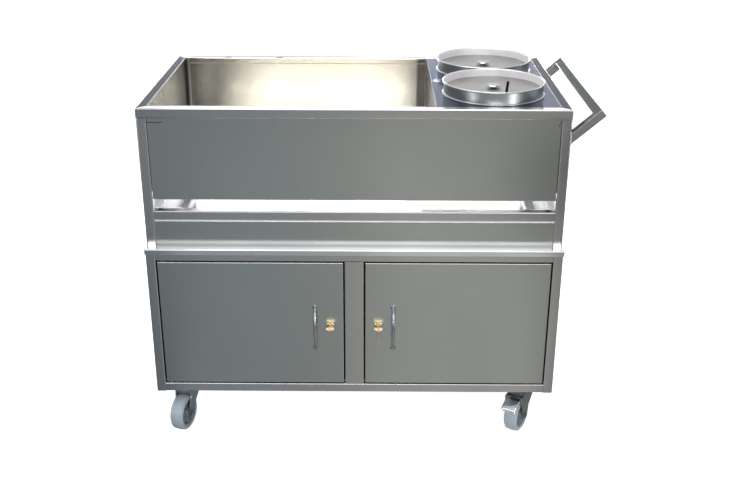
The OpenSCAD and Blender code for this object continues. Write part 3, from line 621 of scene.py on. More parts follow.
def sweep(bm, path, radii, sides=20, loop=False):
    """A round bar along a row of points, with its radius at each of them."""
    count = len(path)
    rings = []
    side = None
    for i, point in enumerate(path):
        ahead = path[(i + 1) % count] if loop or i < count - 1 else point
        behind = path[i - 1] if loop or i else point
        along = (Vector(ahead) - Vector(behind)).normalized()
        side = along.orthogonal() if side is None else side - along * side.dot(along)
        side.normalize()
        up = along.cross(side)
        rings.append([Vector(point) + radii[i] * (side * math.cos(2 * math.pi * k / sides)
                                                  + up * math.sin(2 * math.pi * k / sides))
                      for k in range(sides)])
    loft(bm, rings, loop=loop, caps=not loop)


for side in ("left", "right"):
    low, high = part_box(side + "_pull")
    middle = (low + high) / 2
    bar_r = 4 * MM
    rise = high.y - low.y - bar_r
    half_h = (high.z - low.z) / 2 - PULL_FOOT_R
    bow_r = (half_h ** 2 + rise ** 2) / (2 * rise)
    half_angle = math.asin(half_h / bow_r)
    steps = 36
    path, radii = [], []
    for k in range(steps + 1):
        angle = half_angle * (2 * k / steps - 1)
        path.append((middle.x, high.y - rise + bow_r * (1 - math.cos(angle)),
                     middle.z + bow_r * math.sin(angle)))
        near_foot = max(0, abs(2 * k / steps - 1) - 0.82) / 0.18
        radii.append(bar_r * (1 + 0.25 * near_foot ** 2))
    bm = bmesh.new()
    sweep(bm, path, radii, 24)
    foot = soften([(0, 0), (PULL_FOOT_R, 0), (PULL_FOOT_R - 0.5 * MM, 1.2 * MM), (bar_r + 1.4 * MM, PULL_FOOT_H),
                   (bar_r + 0.4 * MM, PULL_FOOT_H + 2.5 * MM), (0, PULL_FOOT_H + 2.5 * MM)], 0.8 * MM, closed=False)
    for end in (-1, 1):
        lathe(bm, foot, Matrix.Translation((middle.x, high.y, middle.z + end * half_h))
              @ Matrix.Rotation(math.pi / 2, 4, "X"), 40, loop=False)
    piece(side + "_bar_pull", bm, polished, side + "_door", [side + "_pull"])

# ---- Locks and keys ----
# A cam lock goes through each door and is held by a hexagon nut inside. Its brass key stays in the
# plug, and a second key hangs from it on a split ring.

LOCK_HEAD_R = 10 * MM
LOCK_HEAD_T = 4 * MM
LOCK_BARREL_R = 8 * MM
LOCK_PLUG_R = 5.5 * MM
LOCK_BARREL_L = 26.7 * MM
THREAD_PITCH = 1.5 * MM
THREAD_DEPTH = 0.35 * MM
KEY_T = 2 * MM
KEY_BOW_R = 11 * MM
KEY_NECK = 8 * MM
KEY_BLADE_W = 8 * MM
KEY_BLADE_IN = 20 * MM
SPARE_BOW_R = 7 * MM
SPARE_BLADE_L = 30 * MM
RING_R = 7 * MM
RING_WIRE = 1.6 * MM
brass = turned((0.90, 0.70, 0.44), "brass", 0.3, 0.24, 1.0)


def flat_plate(bm, place, outline, holes, thickness, edge=0.25 * MM):
    """A flat plate cut to an outline of (x, y) points, with holes, centred on place."""
    edges = []
    for loop in [outline] + holes:
        verts = [bm.verts.new((x, y, 0)) for x, y in loop]
        edges += [bm.edges.new((verts[i - 1], verts[i])) for i in range(len(verts))]
    filled = bmesh.ops.triangle_fill(bm, edges=edges, use_beauty=True)
    faces = [f for f in filled["geom"] if isinstance(f, bmesh.types.BMFace)]
    for face in faces:
        if face.normal.z < 0:
            face.normal_flip()
    grown = bmesh.ops.extrude_face_region(bm, geom=faces)
    top = [v for v in grown["geom"] if isinstance(v, bmesh.types.BMVert)]
    bottom = {v for f in faces for v in f.verts}
    bmesh.ops.translate(bm, verts=top, vec=(0, 0, thickness / 2))
    bmesh.ops.translate(bm, verts=list(bottom), vec=(0, 0, -thickness / 2))
    both = set(top) | bottom
    rim = [e for e in bm.edges if set(e.verts) <= both and len(e.link_faces) == 2
           and e.calc_face_angle(0) > math.radians(60)
            and abs(e.verts[0].co.z - e.verts[1].co.z) < thickness / 2]
    cut = bmesh.ops.bevel(bm, geom=rim, offset=edge, segments=2, profile=0.5, affect="EDGES")
    touched = {v for v in both if v.is_valid} | set(cut["verts"])
    bmesh.ops.transform(bm, matrix=place, verts=list(touched))


def circle(radius, count=40, middle=(0, 0)):
    """Points round a circle, as an outline."""
    return [(middle[0] + radius * math.cos(2 * math.pi * i / count),
             middle[1] + radius * math.sin(2 * math.pi * i / count)) for i in range(count)]


def key_outline(bow_r, blade_w, length, neck):
    """A key's outline, its bow round the origin and its toothed blade along -Y."""
    half = blade_w / 2
    start = math.asin(min(0.95, half / bow_r))
    points = [(bow_r * math.sin(angle), -bow_r * math.cos(angle))
              for angle in [start + (2 * math.pi - 2 * start) * i / 36 for i in range(37)]]
    tip = -bow_r - length
    left = [(-half, -bow_r - neck), (-half, tip + 2 * MM), (-half * 0.3, tip)]
    teeth = []
    cuts = 5
    for k in range(cuts):
        level = tip + 3 * MM + (length - neck - 5 * MM) * k / (cuts - 1)
        depth = half * (0.35 if k % 2 else 0.7)
        teeth += [(half * 0.95, level - 0.8 * MM), (half - depth, level + 0.4 * MM),
                  (half - depth, level + 1.0 * MM)]
    right = [(half * 0.3, tip)] + teeth + [(half, -bow_r - neck)]
    return points + left + right


for side in ("left", "right"):
    lock_at = Vector(JOINTS[side + "_lock_turn"]["pos_m"])
    outward = Matrix.Translation(lock_at) @ Matrix.Rotation(math.pi / 2, 4, "X")
    bm = bmesh.new()
    profile = [(LOCK_PLUG_R + 0.1 * MM, LOCK_HEAD_T), (LOCK_HEAD_R - 2 * MM, LOCK_HEAD_T),
               (LOCK_HEAD_R, LOCK_HEAD_T - 1.4 * MM), (LOCK_HEAD_R, 0), (LOCK_BARREL_R, 0)]
    turns = int((LOCK_BARREL_L - 2 * MM) / THREAD_PITCH)
    for k in range(turns):
        level = -1 * MM - THREAD_PITCH * k
        profile += [(LOCK_BARREL_R, level), (LOCK_BARREL_R - THREAD_DEPTH, level - THREAD_PITCH / 2)]
    profile += [(LOCK_BARREL_R - THREAD_DEPTH, -LOCK_BARREL_L), (LOCK_PLUG_R + 0.1 * MM, -LOCK_BARREL_L)]
    lathe(bm, profile, outward, 48)
    nut_seat = outward @ Matrix.Translation((0, 0, -SHEET - 4 * MM))
    hex_head(bm, nut_seat, LOCK_BARREL_R + 4 * MM, 4 * MM)
    piece(side + "_lock_body", bm, brass, side + "_door", [side + "_lock"], sharp=30)
    dress(side + "_lock_cam", zinc)

    bow_at = lock_at + Vector((0, -LOCK_HEAD_T - KEY_NECK - KEY_BOW_R, 0))
    bm = bmesh.new()
    level_key = Matrix.Translation(bow_at) @ Matrix.Rotation(math.pi, 4, "Z")
    flat_plate(bm, level_key, key_outline(KEY_BOW_R, KEY_BLADE_W, KEY_NECK + KEY_BLADE_IN, KEY_NECK),
               [circle(KEY_BOW_R / 4, 24, (0, KEY_BOW_R / 2))], KEY_T)
    piece(side + "_brass_key", bm, brass, side + "_lock_plug", [side + "_key"])

    low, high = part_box(side + "_spare_key")
    ring_at = Vector((lock_at.x, (low.y + high.y) / 2, high.z - RING_WIRE / 2 - RING_R))
    bm = bmesh.new()
    ring_path = [ring_at + Vector((x, 0, z)) for x, z in circle(RING_R)]
    sweep(bm, ring_path, [RING_WIRE / 2] * len(ring_path), 12, loop=True)
    bow_z = ring_at.z - RING_R - SPARE_BOW_R + 3 * MM
    hanging = (Matrix.Translation((lock_at.x, ring_at.y, bow_z)) @ Matrix.Rotation(math.pi / 2, 4, "Z")
               @ Matrix.Rotation(math.pi / 2, 4, "X"))
    flat_plate(bm, hanging, key_outline(SPARE_BOW_R, KEY_BLADE_W - 2 * MM, SPARE_BLADE_L, 3 * MM),
               [circle(2.2 * MM, 20, (0, SPARE_BOW_R - 3.4 * MM))], KEY_T)
    piece(side + "_hanging_spare_key", bm, brass, side + "_hanging_key", [side + "_spare_key"])

# ---- Worktop ----
# The shelf under the upper unit is one bright sheet laid over the cabinet, its edge turned down and
# hemmed back on itself all round.

HEM = 2 * SHEET
WORKTOP_BEND = 2.8 * MM
BRIGHT_TONE, BRIGHT_WORN = (0.92, 0.92, 0.93), (0.86, 0.86, 0.87)
bright_level = steel("bright_sheet_level", BRIGHT_TONE, BRIGHT_WORN, GRAIN_X, 0.08, 0.14, wave_depth=0.3 * MM)
low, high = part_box("worktop")
bm = bmesh.new()
folded_pan(bm, low, high, 2, low.z, HEM, SHEET, 3 * MM, WORKTOP_BEND)
piece("worktop_sheet", bm, bright_level, "cart", ["worktop"])

# ---- Upper frame ----
# Four short posts stand on the worktop. They carry a sill on three sides, with the open slot above
# it, and a rim of the same tube, mitred at its corners and polished smoother along the top. The tops
# of the rim carry painted light: a near-white painted highlight on the long rails, painted shade on the short ones.

low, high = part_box("upper_posts")
upper_y = low.y
upper_in = upper_y + tube
bm = bmesh.new()
for x in (left_x, in_right):
    for y in (upper_y, in_back):
        tube_bar(bm, (x, y, low.z), (x + tube, y + tube, high.z), 2)
piece("upper_corner_posts", bm, frame_upright, "cart", ["upper_posts"])


def painted_top_light():
    """Paints light or shade where a face looks up: another colour there, and a smoother polish."""
    group, given, result = new_group(
        "painted_top_light", [("Sides", "Color"), ("Top", "Color"), ("Turn", "Float"), ("Full", "Float")], FINISH[:2])
    facing = add_node(group, "NewGeometry")
    up = add_node(group, "SeparateXYZ", {0: facing.outputs["Normal"]})
    on_top = add_node(group, "MapRange",
                      {"Value": up.outputs["Z"], "From Min": given["Turn"], "From Max": given["Full"]})
    mixed = add_node(group, "Mix", {0: on_top.outputs[0], 6: given["Sides"], 7: given["Top"]},
                     data_type="RGBA")
    rough = add_node(group, "MapRange", {"Value": up.outputs["Z"], "From Min": 0.2, "From Max": 0.9,
                                         "To Min": 0.26, "To Max": 0.12})
    group.links.new(mixed.outputs[2], result["Color"])
    group.links.new(rough.outputs[0], result["Roughness"])
    return group


PAINTED_TOP_LIGHT = painted_top_light()


def painted_top_tube(name, grain, top, turn=0.8):
    """Frame tube brushed on its sides and polished along its top, with painted light or shade in the top's colour.
    """
    material = steel(name, FRAME_TONE, FRAME_WORN, grain, 0.1, 0.18)
    tree = material.node_tree
    shader = tree.nodes["Principled BSDF"]
    edge = [0.5 + 0.5 * part for part in top]
    shader.inputs["Specular Tint"].default_value = (*edge, 1)
    brushed = shader.inputs["Base Color"].links[0].from_socket
    top_paint = add_node(tree, "Group", {"Sides": brushed, "Top": (*top, 1), "Turn": turn,
                                      "Full": turn + 0.15}, node_tree=PAINTED_TOP_LIGHT)
    tree.links.new(top_paint.outputs["Color"], shader.inputs["Base Color"])
    tree.links.new(top_paint.outputs["Roughness"], shader.inputs["Roughness"])
    return material


# Near-white tone laid on upward faces: a painted highlight on the long rails and on the hems.
PAINTED_TOP_HIGHLIGHT = (0.93, 0.92, 0.93)
long_rail = painted_top_tube("rail_painted_highlight_top", GRAIN_X, PAINTED_TOP_HIGHLIGHT)
low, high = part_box("sill_rails")
bm = bmesh.new()
tube_bar(bm, (in_left, upper_y, low.z), (in_right, upper_in, high.z), 0)
piece("front_sill_tube", bm, long_rail, "cart", ["sill_rails"])
bm = bmesh.new()
for x in (left_x, in_right):
    tube_bar(bm, (x, upper_in, low.z), (x + tube, in_back, high.z), 1)
# The side sill tubes are painted near white and nearly matte: painted light where they show in the slot.
side_sill_light_paint = steel("side_sill_painted_light", (0.95, 0.95, 0.96), (0.9, 0.9, 0.91), GRAIN_Y, 0.5, 0.6, metallic=0.15)
piece("side_sill_tubes", bm, side_sill_light_paint, "cart", ["sill_rails"])

rim_low, rim_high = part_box("rim_long_rails")
top_z = rim_high.z
bm = bmesh.new()
for y, outer in ((upper_y, upper_y), (in_back, back_y)):
    tube_bar(bm, (left_x, y, rim_low.z), (right_x, y + tube, top_z), 0, mitre=(1, outer))
piece("rim_long_tubes", bm, long_rail, "cart", ["rim_long_rails"])
bm = bmesh.new()
for x, outer in ((left_x, left_x), (in_right, right_x)):
    tube_bar(bm, (x, upper_y, rim_low.z), (x + tube, back_y, top_z), 1, mitre=(0, outer))
# The short rails' tops are painted near black: painted shade.
piece("rim_short_tubes", bm, painted_top_tube("rail_painted_shade_top", GRAIN_Y, (0.12, 0.13, 0.15)), "cart",
      ["rim_short_rails"])

# ---- Upper panels and aprons ----
# The well is hidden by flat panels with a folded lower edge over the slot. Below the sill an apron
# strip closes the gap down to the worktop, its top edge rolled to a hem whose sloping face is painted
# near white as a painted highlight.

FOLD = 2.4 * MM
PANEL_GAP = 1.1 * MM


def strip(bm, outline, axis, start, end):
    """A section of (u, v) points drawn out along an axis."""
    u, v = [i for i in range(3) if i != axis]
    rings = []
    for level in (start, end):
        ring = []
        for p, q in outline:
            point = Vector((0, 0, 0))
            point[u], point[v], point[axis] = p, q, level
            ring.append(point)
        rings.append(ring)
    loft(bm, rings, caps=True)


def panel_section(face, inward, low_z, high_z, depth):
    """A panel's section: its face, and the return folded inward along its lower edge."""
    back = face + inward * SHEET
    tip = face + inward * depth
    points = [(tip, low_z), (face, low_z), (face, high_z), (back, high_z), (back, low_z + SHEET),
              (tip, low_z + SHEET)]
    outer = soften(points, 0.15 * MM, steps=1)
    bend = soften([points[0], points[1], points[2]], FOLD, closed=False, steps=5)[1:-1]
    inner = soften([points[3], points[4], points[5]], FOLD - SHEET, closed=False, steps=5)[1:-1]
    return [outer[0], outer[1]] + bend + [points[2], points[3]] + inner + [points[5]]


low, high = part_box("front_panel")
bm = bmesh.new()
strip(bm, panel_section(low.y, 1, low.z, high.z, high.y - low.y), 0, low.x + PANEL_GAP, high.x - PANEL_GAP)
piece("front_cover_panel", bm, panel_level, "cart", ["front_panel"])
low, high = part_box("back_panel")
bm = bmesh.new()
strip(bm, panel_section(high.y, -1, low.z, high.z, high.y - low.y), 0, low.x, high.x)
piece("back_cover_panel", bm, panel_level, "cart", ["back_panel"])
low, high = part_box("side_panels")
return_depth = 14 * MM
bm = bmesh.new()
for face, inward in ((low.x, 1), (high.x, -1)):
    strip(bm, panel_section(face, inward, low.z, high.z, return_depth), 1, low.y, high.y)
piece("side_cover_panels", bm, panel_side, "cart", ["side_panels"])

low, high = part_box("apron_strips")
hem_size = 3 * MM
HEM_LIP = 0.5 * MM
# The hem's sloping face is painted near white: a painted highlight.
hem_highlight_paint = steel("hem_painted_highlight", PAINTED_TOP_HIGHLIGHT, (0.8, 0.8, 0.82), GRAIN_X, 0.14, 0.2)


def apron_section(face, inward, low_z, high_z):
    """An apron's section, with its pressed hem standing out along the top."""
    edge = face + inward * hem_size
    back = edge + inward * SHEET
    return [(edge, low_z), (back, low_z), (back, high_z), (edge, high_z), (face, high_z - hem_size + HEM_LIP),
            (face, high_z - hem_size), (edge, high_z - hem_size)]


def paint_hem_highlight(bm):
    """Gives the sloping face of a hem the near-white painted-highlight material."""
    bm.normal_update()
    bmesh.ops.recalc_face_normals(bm, faces=bm.faces)
    for face in bm.faces:
        if 0.3 < face.normal.z < 0.95:
            face.material_index = 1


# Share of the colour kept where painted shade is darkest, toward a sheet's ends.
PAINTED_SHADE_LEVEL = 0.3


def painted_end_shade():
    """Greys a colour toward the two ends of a sheet: painted shade."""
    group, given, result = new_group(
        "painted_end_shade", [("Color", "Color"), ("Axis", "Vector"), ("Low Start", "Float"), ("Low End", "Float"),
                        ("High Start", "Float"), ("High End", "Float")], FINISH[:1])
    place = add_node(group, "TexCoord").outputs["Object"]
    along = add_node(group, "VectorMath", {0: place, 1: given["Axis"]}, operation="DOT_PRODUCT")
    low, high = [add_node(group, "MapRange",
                          {"Value": along.outputs["Value"], "From Min": given[end + " Start"],
                           "From Max": given[end + " End"], "To Min": PAINTED_SHADE_LEVEL}) for end in ("Low", "High")]
    both = add_node(group, "Math", {0: low.outputs[0], 1: high.outputs[0]}, operation="MULTIPLY")
    shaded = add_node(group, "Mix", {0: both.outputs[0], 6: (0.02, 0.02, 0.022, 1), 7: given["Color"]},
                      data_type="RGBA")
    group.links.new(shaded.outputs[2], result["Color"])
    return group


PAINTED_END_SHADE = painted_end_shade()


def paint_end_shade(material, axis, low_end, high_end):
    """Greys a sheet toward its ends along an axis, as painted shade."""
    tree = material.node_tree
    base = tree.nodes["Principled BSDF"].inputs["Base Color"]
    end_shade_node = add_node(tree, "Group",
                      {"Color": base.links[0].from_socket, "Axis": axis, "Low Start": low_end[0],
                       "Low End": low_end[1], "High Start": high_end[0], "High End": high_end[1]},
                      node_tree=PAINTED_END_SHADE)
    tree.links.new(end_shade_node.outputs["Color"], base)


# The front apron is painted darker toward its foot on the worktop: painted shade.
apron_level = steel("apron_level", PANEL_TONE, PANEL_WORN, GRAIN_X, 0.24, 0.3, wave_depth=0.6 * MM)
FOOT_SHADE_HEIGHT = 22 * MM
CLEAR = 2 * MM
paint_end_shade(apron_level, (0, 0, 1), (low.z, low.z + FOOT_SHADE_HEIGHT), (high.z + CLEAR, high.z + CLEAR / 2))
bm = bmesh.new()
strip(bm, apron_section(low.y, 1, low.z, high.z), 0, in_left, in_right)
paint_hem_highlight(bm)
piece("front_apron", bm, [apron_level, hem_highlight_paint], "cart", ["apron_strips"])
bm = bmesh.new()
for face, inward in ((low.x, 1), (high.x, -1)):
    strip(bm, apron_section(face, inward, low.z, high.z), 1, upper_in, in_back)
paint_hem_highlight(bm)
piece("side_aprons", bm, [panel_side, hem_highlight_paint], "cart")

# ---- Well pan and pot deck ----
# One deep pan with rounded corners hangs in the rim, its edge welded flush. At the handle's end
# a folded sheet makes the wall of the popcorn well and the deck with two rolled pot holes.

PAN_CORNER = 12 * MM
PAN_COVE = 6 * MM
PAN_LIP = 2.6 * MM
# The pan is one sheet in two copies: its long walls painted cream white as painted light, its end walls painted dark
# grey as painted shade.
pan_long_walls_lit_paint = steel("pan_sheet_long_painted_light", (0.96, 0.94, 0.89), (0.92, 0.9, 0.84), GRAIN_X, 0.16, 0.24,
                 wave_depth=0.5 * MM)
pan_end_walls_shade_paint = steel("pan_sheet_ends_painted_shade", (0.34, 0.35, 0.345), (0.27, 0.28, 0.28), GRAIN_Y, 0.2, 0.3,
                wave_depth=0.5 * MM)
deck_steel = steel("deck_sheet", (0.21, 0.22, 0.255), (0.17, 0.18, 0.21), GRAIN_Y, 0.13, 0.2,
                   wave_depth=0.5 * MM)
deck_steel.node_tree.nodes["Principled BSDF"].inputs["Specular Tint"].default_value = (0.6, 0.62, 0.7, 1)
wall_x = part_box("pot_deck")[0].x
# The long walls are painted darker toward the end walls: a painted reflection of the dark end walls.
CORNER_SHADE_START = 24 * MM
paint_end_shade(pan_long_walls_lit_paint, (1, 0, 0), (in_left + CORNER_SHADE_START, in_left + 62 * MM), (wall_x - CORNER_SHADE_START, wall_x - 30 * MM))

pan_low, pan_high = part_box("well_pan")
bm = bmesh.new()


def pan_ring(inset, level, corner):
    """The pan's outline at one level, set in from its outer walls."""
    return [Vector(((pan_low.x + pan_high.x) / 2 + p, (pan_low.y + pan_high.y) / 2 + q, level))
            for p, q in round_outline(pan_high.x - pan_low.x - 2 * inset, pan_high.y - pan_low.y - 2 * inset,
                                      corner, 8)]


rings = [pan_ring(PAN_COVE, pan_low.z, PAN_CORNER - PAN_COVE)]
for k in range(1, 6):
    angle = math.pi / 2 * k / 5
    inset = PAN_COVE * (1 - math.sin(angle))
    rings.append(pan_ring(inset, pan_low.z + PAN_COVE * (1 - math.cos(angle)), PAN_CORNER - inset))
rings.append(pan_ring(0, top_z - SHEET, PAN_CORNER))
rings.append(pan_ring(-PAN_LIP, top_z - SHEET, PAN_CORNER + PAN_LIP))
rings.append(pan_ring(-PAN_LIP, top_z, PAN_CORNER + PAN_LIP))
rings.append(pan_ring(SHEET * 0.6, top_z, PAN_CORNER - SHEET * 0.6))
rings.append(pan_ring(SHEET, top_z - SHEET * 0.4, PAN_CORNER - SHEET))
for k in range(5, -1, -1):
    angle = math.pi / 2 * k / 5
    inset = SHEET + (PAN_COVE - SHEET) * (1 - math.sin(angle))
    rings.append(pan_ring(inset, pan_low.z + SHEET + (PAN_COVE - SHEET) * (1 - math.cos(angle)), PAN_CORNER - inset))
loft(bm, rings, caps=True)
bmesh.ops.recalc_face_normals(bm, faces=bm.faces)
bm.normal_update()
# Faces that look along X, the end walls, take the painted-shade copy.
for face in bm.faces:
    if abs(face.normal.x) > 0.3:
        face.material_index = 1
piece("deep_well_pan", bm, [pan_long_walls_lit_paint, pan_end_walls_shade_paint], "cart", ["well_pan"])

deck_low, deck_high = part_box("pot_deck")
pot_middles = []
for name in ("front_pot", "rear_pot"):
    low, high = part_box(name)
    pot_middles.append((low + high) / 2)
split_y = (pot_middles[0].y + pot_middles[1].y) / 2
HOLE_R = 129.5 * MM
HOLE_LIP = 9 * MM
HOLE_ROLL = 1.2 * MM
WALL_BEND = 4 * MM


def rect_ring(low_x, high_x, low_y, high_y, middle, level, count):
    """Points round a rectangle, at even angles as seen from a point inside it."""
    ring = []
    for i in range(count):
        angle = 2 * math.pi * (i + 0.5) / count
        dx, dy = math.cos(angle), math.sin(angle)
        reach_x = ((high_x if dx > 0 else low_x) - middle.x) / dx
        reach_y = ((high_y if dy > 0 else low_y) - middle.y) / dy
        reach = min(reach_x, reach_y)
        ring.append(Vector((middle.x + dx * reach, middle.y + dy * reach, level)))
    return ring


def hole_ring(middle, radius, level, count):
    """A ring of points round a pot opening, at one level."""
    return [Vector((middle.x + radius * math.cos(2 * math.pi * (i + 0.5) / count),
                    middle.y + radius * math.sin(2 * math.pi * (i + 0.5) / count), level)) for i in range(count)]


bm = bmesh.new()
ROUND = 144
for middle, y_from, y_to in ((pot_middles[0], deck_low.y, split_y), (pot_middles[1], split_y, deck_high.y)):
    edges = (deck_low.x + WALL_BEND, deck_high.x, y_from, y_to)
    rings = [rect_ring(*edges, middle, top_z, ROUND), hole_ring(middle, HOLE_R + HOLE_ROLL, top_z, ROUND),
             hole_ring(middle, HOLE_R + HOLE_ROLL * 0.3, top_z - HOLE_ROLL * 0.3, ROUND),
             hole_ring(middle, HOLE_R, top_z - HOLE_ROLL, ROUND),
             hole_ring(middle, HOLE_R, top_z - HOLE_LIP, ROUND),
             hole_ring(middle, HOLE_R + SHEET, top_z - HOLE_LIP, ROUND),
             hole_ring(middle, HOLE_R + SHEET, top_z - SHEET, ROUND),
             rect_ring(*edges, middle, top_z - SHEET, ROUND)]
    loft(bm, rings, loop=True)
corner_points = [(deck_low.x + WALL_BEND, top_z), (deck_low.x, top_z), (deck_low.x, deck_low.z)]
outer = soften(corner_points, WALL_BEND, closed=False, steps=6)
inner_points = [(deck_low.x + SHEET, deck_low.z), (deck_low.x + SHEET, top_z - SHEET),
                (deck_low.x + WALL_BEND, top_z - SHEET)]
inner = soften(inner_points, WALL_BEND - SHEET, closed=False, steps=6)
strip(bm, outer + inner, 1, deck_low.y, deck_high.y)
piece("deck_and_well_wall", bm, deck_steel, "cart", ["pot_deck"])

# ---- Pots ----
# Two straight-sided pots are spun from thicker stainless. Each has a rolled rim and a bead that
# rests on the deck, and inside it a ledge pressed outward for its lid.

POT_WALL = 1.2 * MM
POT_R = 128 * MM
POT_BASE_R = 9 * MM
POT_BEAD = 3.5 * MM
POT_GRAIN = (LONG, LONG, FINE)
spun_outside = steel("spun_pot_outside", (0.50, 0.53, 0.54), (0.44, 0.47, 0.48), POT_GRAIN, 0.3, 0.36)
# The pot's inside is painted near white and half metallic: painted light on the same spun steel.
pot_inside_light_paint = steel("spun_pot_inside_painted_light", (0.97, 0.95, 0.97), (0.93, 0.92, 0.94), POT_GRAIN, 0.4, 0.46,
                    metallic=0.45)


def pot_profile(bottom, rim_top, rim_r, lid_z):
    """The pot's section from the middle of its base, up outside, over the rim and down inside."""
    inner_r = POT_R - POT_WALL
    roll = (rim_r - POT_R) / 2 + POT_WALL / 2
    outside = soften([(0, bottom), (POT_R, bottom), (POT_R, top_z), (POT_R + POT_BEAD, top_z),
                      (POT_R + POT_BEAD, top_z + POT_BEAD), (POT_R, top_z + POT_BEAD),
                      (POT_R, rim_top - 2 * roll)], 1.2 * MM, closed=False, steps=4)
    heel = [(POT_R - POT_BASE_R * (1 - math.sin(a)), bottom + POT_BASE_R * (1 - math.cos(a)))
            for a in [math.pi / 2 * k / 6 for k in range(7)]]
    outside = [outside[0]] + heel + [p for p in outside if p[1] > bottom + POT_BASE_R + 1 * MM]
    rim = [(rim_r - roll + roll * math.cos(a), rim_top - roll + roll * math.sin(a))
           for a in [math.radians(-60 + 20 * k) for k in range(12)]]
    ledge = soften([(inner_r, rim_top - roll), (inner_r, lid_z), (inner_r - POT_BEAD, lid_z),
                    (inner_r - POT_BEAD, lid_z - POT_BEAD), (inner_r, lid_z - POT_BEAD),
                    (inner_r, bottom + 2 * POT_BASE_R)], 0.8 * MM, closed=False, steps=3)
    floor_r = POT_BASE_R - POT_WALL
    inside = [(inner_r - floor_r * (1 - math.cos(a)), bottom + POT_WALL + floor_r * (1 - math.sin(a)))
              for a in [math.pi / 2 * k / 6 for k in range(7)]]
    return outside + rim + ledge + inside + [(0, bottom + POT_WALL)]


for name in ("front", "rear"):
    low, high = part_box(name + "_pot")
    middle = (low + high) / 2
    lid_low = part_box(name + "_lid")[0]
    bm = bmesh.new()
    lathe(bm, pot_profile(low.z, high.z, (high.x - low.x) / 2, lid_low.z),
          Matrix.Translation((middle.x, middle.y, 0)), ROUND, loop=False)
    bm.normal_update()
    bmesh.ops.recalc_face_normals(bm, faces=bm.faces)
    # Faces turned toward the pot's axis take the painted-light copy.
    for face in bm.faces:
        away = face.calc_center_median() - Vector((middle.x, middle.y, 0))
        if face.normal.xy.dot(away.xy) < 0 and away.xy.length < POT_R - POT_WALL / 2:
            face.material_index = 1
    piece(name + "_spun_pot", bm, [spun_outside, pot_inside_light_paint], name + "_pot", [name + "_pot"])

# ---- Lids and knobs ----
# A lid is a flat spun disc that drops inside the rim onto the ledge, with a low turned knob riveted
# to its middle. The front lid is slotted to one side for a ladle's handle.

SLOT_W = 7 * MM
SLOT_L = 125 * MM
SLOT_OUT = 35 * MM
SLOT_BACK = 13 * MM
LID_TURN = math.radians(-9)


def spun_finish():
    """A disc finished on a lathe: rings of fine grain round its middle."""
    group, given, result = new_group(
        "spun_finish", [("Steel", "Color"), ("Worn", "Color"), ("Centre", "Vector")], FINISH)
    place = add_node(group, "TexCoord").outputs["Object"]
    off = add_node(group, "VectorMath", {0: place, 1: given["Centre"]}, operation="SUBTRACT")
    radius = add_node(group, "VectorMath", {0: off.outputs[0]}, operation="LENGTH")
    rings = add_node(group, "TexNoise", {"W": radius.outputs["Value"], "Scale": 900.0, "Detail": 3.0},
                     noise_dimensions="1D")
    cloud = add_node(group, "TexNoise", {"Vector": place, "Scale": 16.0, "Detail": 3.0})
    tone = add_node(group, "Math", {0: rings.outputs[0], 1: cloud.outputs[0]}, operation="MULTIPLY")
    stretched = add_node(group, "MapRange",
                         {"Value": tone.outputs[0], "From Min": 0.15, "From Max": 0.4})
    mixed = add_node(group, "Mix", {0: stretched.outputs[0], 6: given["Steel"], 7: given["Worn"]},
                     data_type="RGBA")
    rough = add_node(group, "MapRange", {"Value": cloud.outputs[0], "To Min": 0.3, "To Max": 0.44})
    bump = add_node(group, "Bump", {"Height": rings.outputs[0], "Distance": 0.01 * MM})
    give(group, result, mixed.outputs[2], rough, bump)
    return group


SPUN = spun_finish()
LID_TONE, LID_WORN = (0.34, 0.33, 0.32, 1), (0.28, 0.27, 0.26, 1)
for name in ("front", "rear"):
    low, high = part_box(name + "_lid")
    middle = (low + high) / 2
    lid_steel = finished(name + "_lid_steel", SPUN, {"Steel": LID_TONE, "Worn": LID_WORN, "Centre": middle})
    holes = []
    if name == "front":
        slot_ring = [Vector((SLOT_OUT + p, SLOT_BACK + q)) for p, q in
                     round_outline(SLOT_W, SLOT_L, SLOT_W / 2 - 0.1 * MM, 8)]
        holes = [[(p.x * math.cos(LID_TURN) - p.y * math.sin(LID_TURN),
                   p.x * math.sin(LID_TURN) + p.y * math.cos(LID_TURN)) for p in slot_ring]]
    bm = bmesh.new()
    flat_plate(bm, Matrix.Translation(middle), circle((high.x - low.x) / 2, ROUND), holes, high.z - low.z)
    piece(name + "_spun_lid", bm, lid_steel, name + "_lid", [name + "_lid"])

    low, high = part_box(name + "_knob")
    head_r, head_h = (high.x - low.x) / 2, high.z - low.z
    bm = bmesh.new()
    profile = soften([(0, 0), (head_r * 0.5, 0), (head_r * 0.42, head_h * 0.2), (head_r * 0.42, head_h * 0.45),
                      (head_r * 0.93, head_h * 0.55), (head_r, head_h * 0.7), (head_r * 0.86, head_h * 0.94),
                      (head_r * 0.4, head_h), (0, head_h)], 1.2 * MM, closed=False, steps=4)
    lathe(bm, profile, Matrix.Translation(((low.x + high.x) / 2, (low.y + high.y) / 2, low.z)), 56, loop=False)
    piece(name + "_lid_knob", bm, polished, name + "_lid", [name + "_knob"])

# ---- Push handle ----
# A loop of square tube, mitred at its two corners, rises from the end of the rim and is welded
# to the short rail and the corner posts.

HANDLE_TUBE = 22 * MM
HANDLE_OUT = 67 * MM
HANDLE_UP = 59 * MM
HANDLE_CORNER = 2.2 * MM
# The handle's upward faces are painted near black: painted shade.
handle_painted_top = painted_top_tube("handle_painted_shade_top", GRAIN_Y, (0.13, 0.145, 0.135), 0.3)

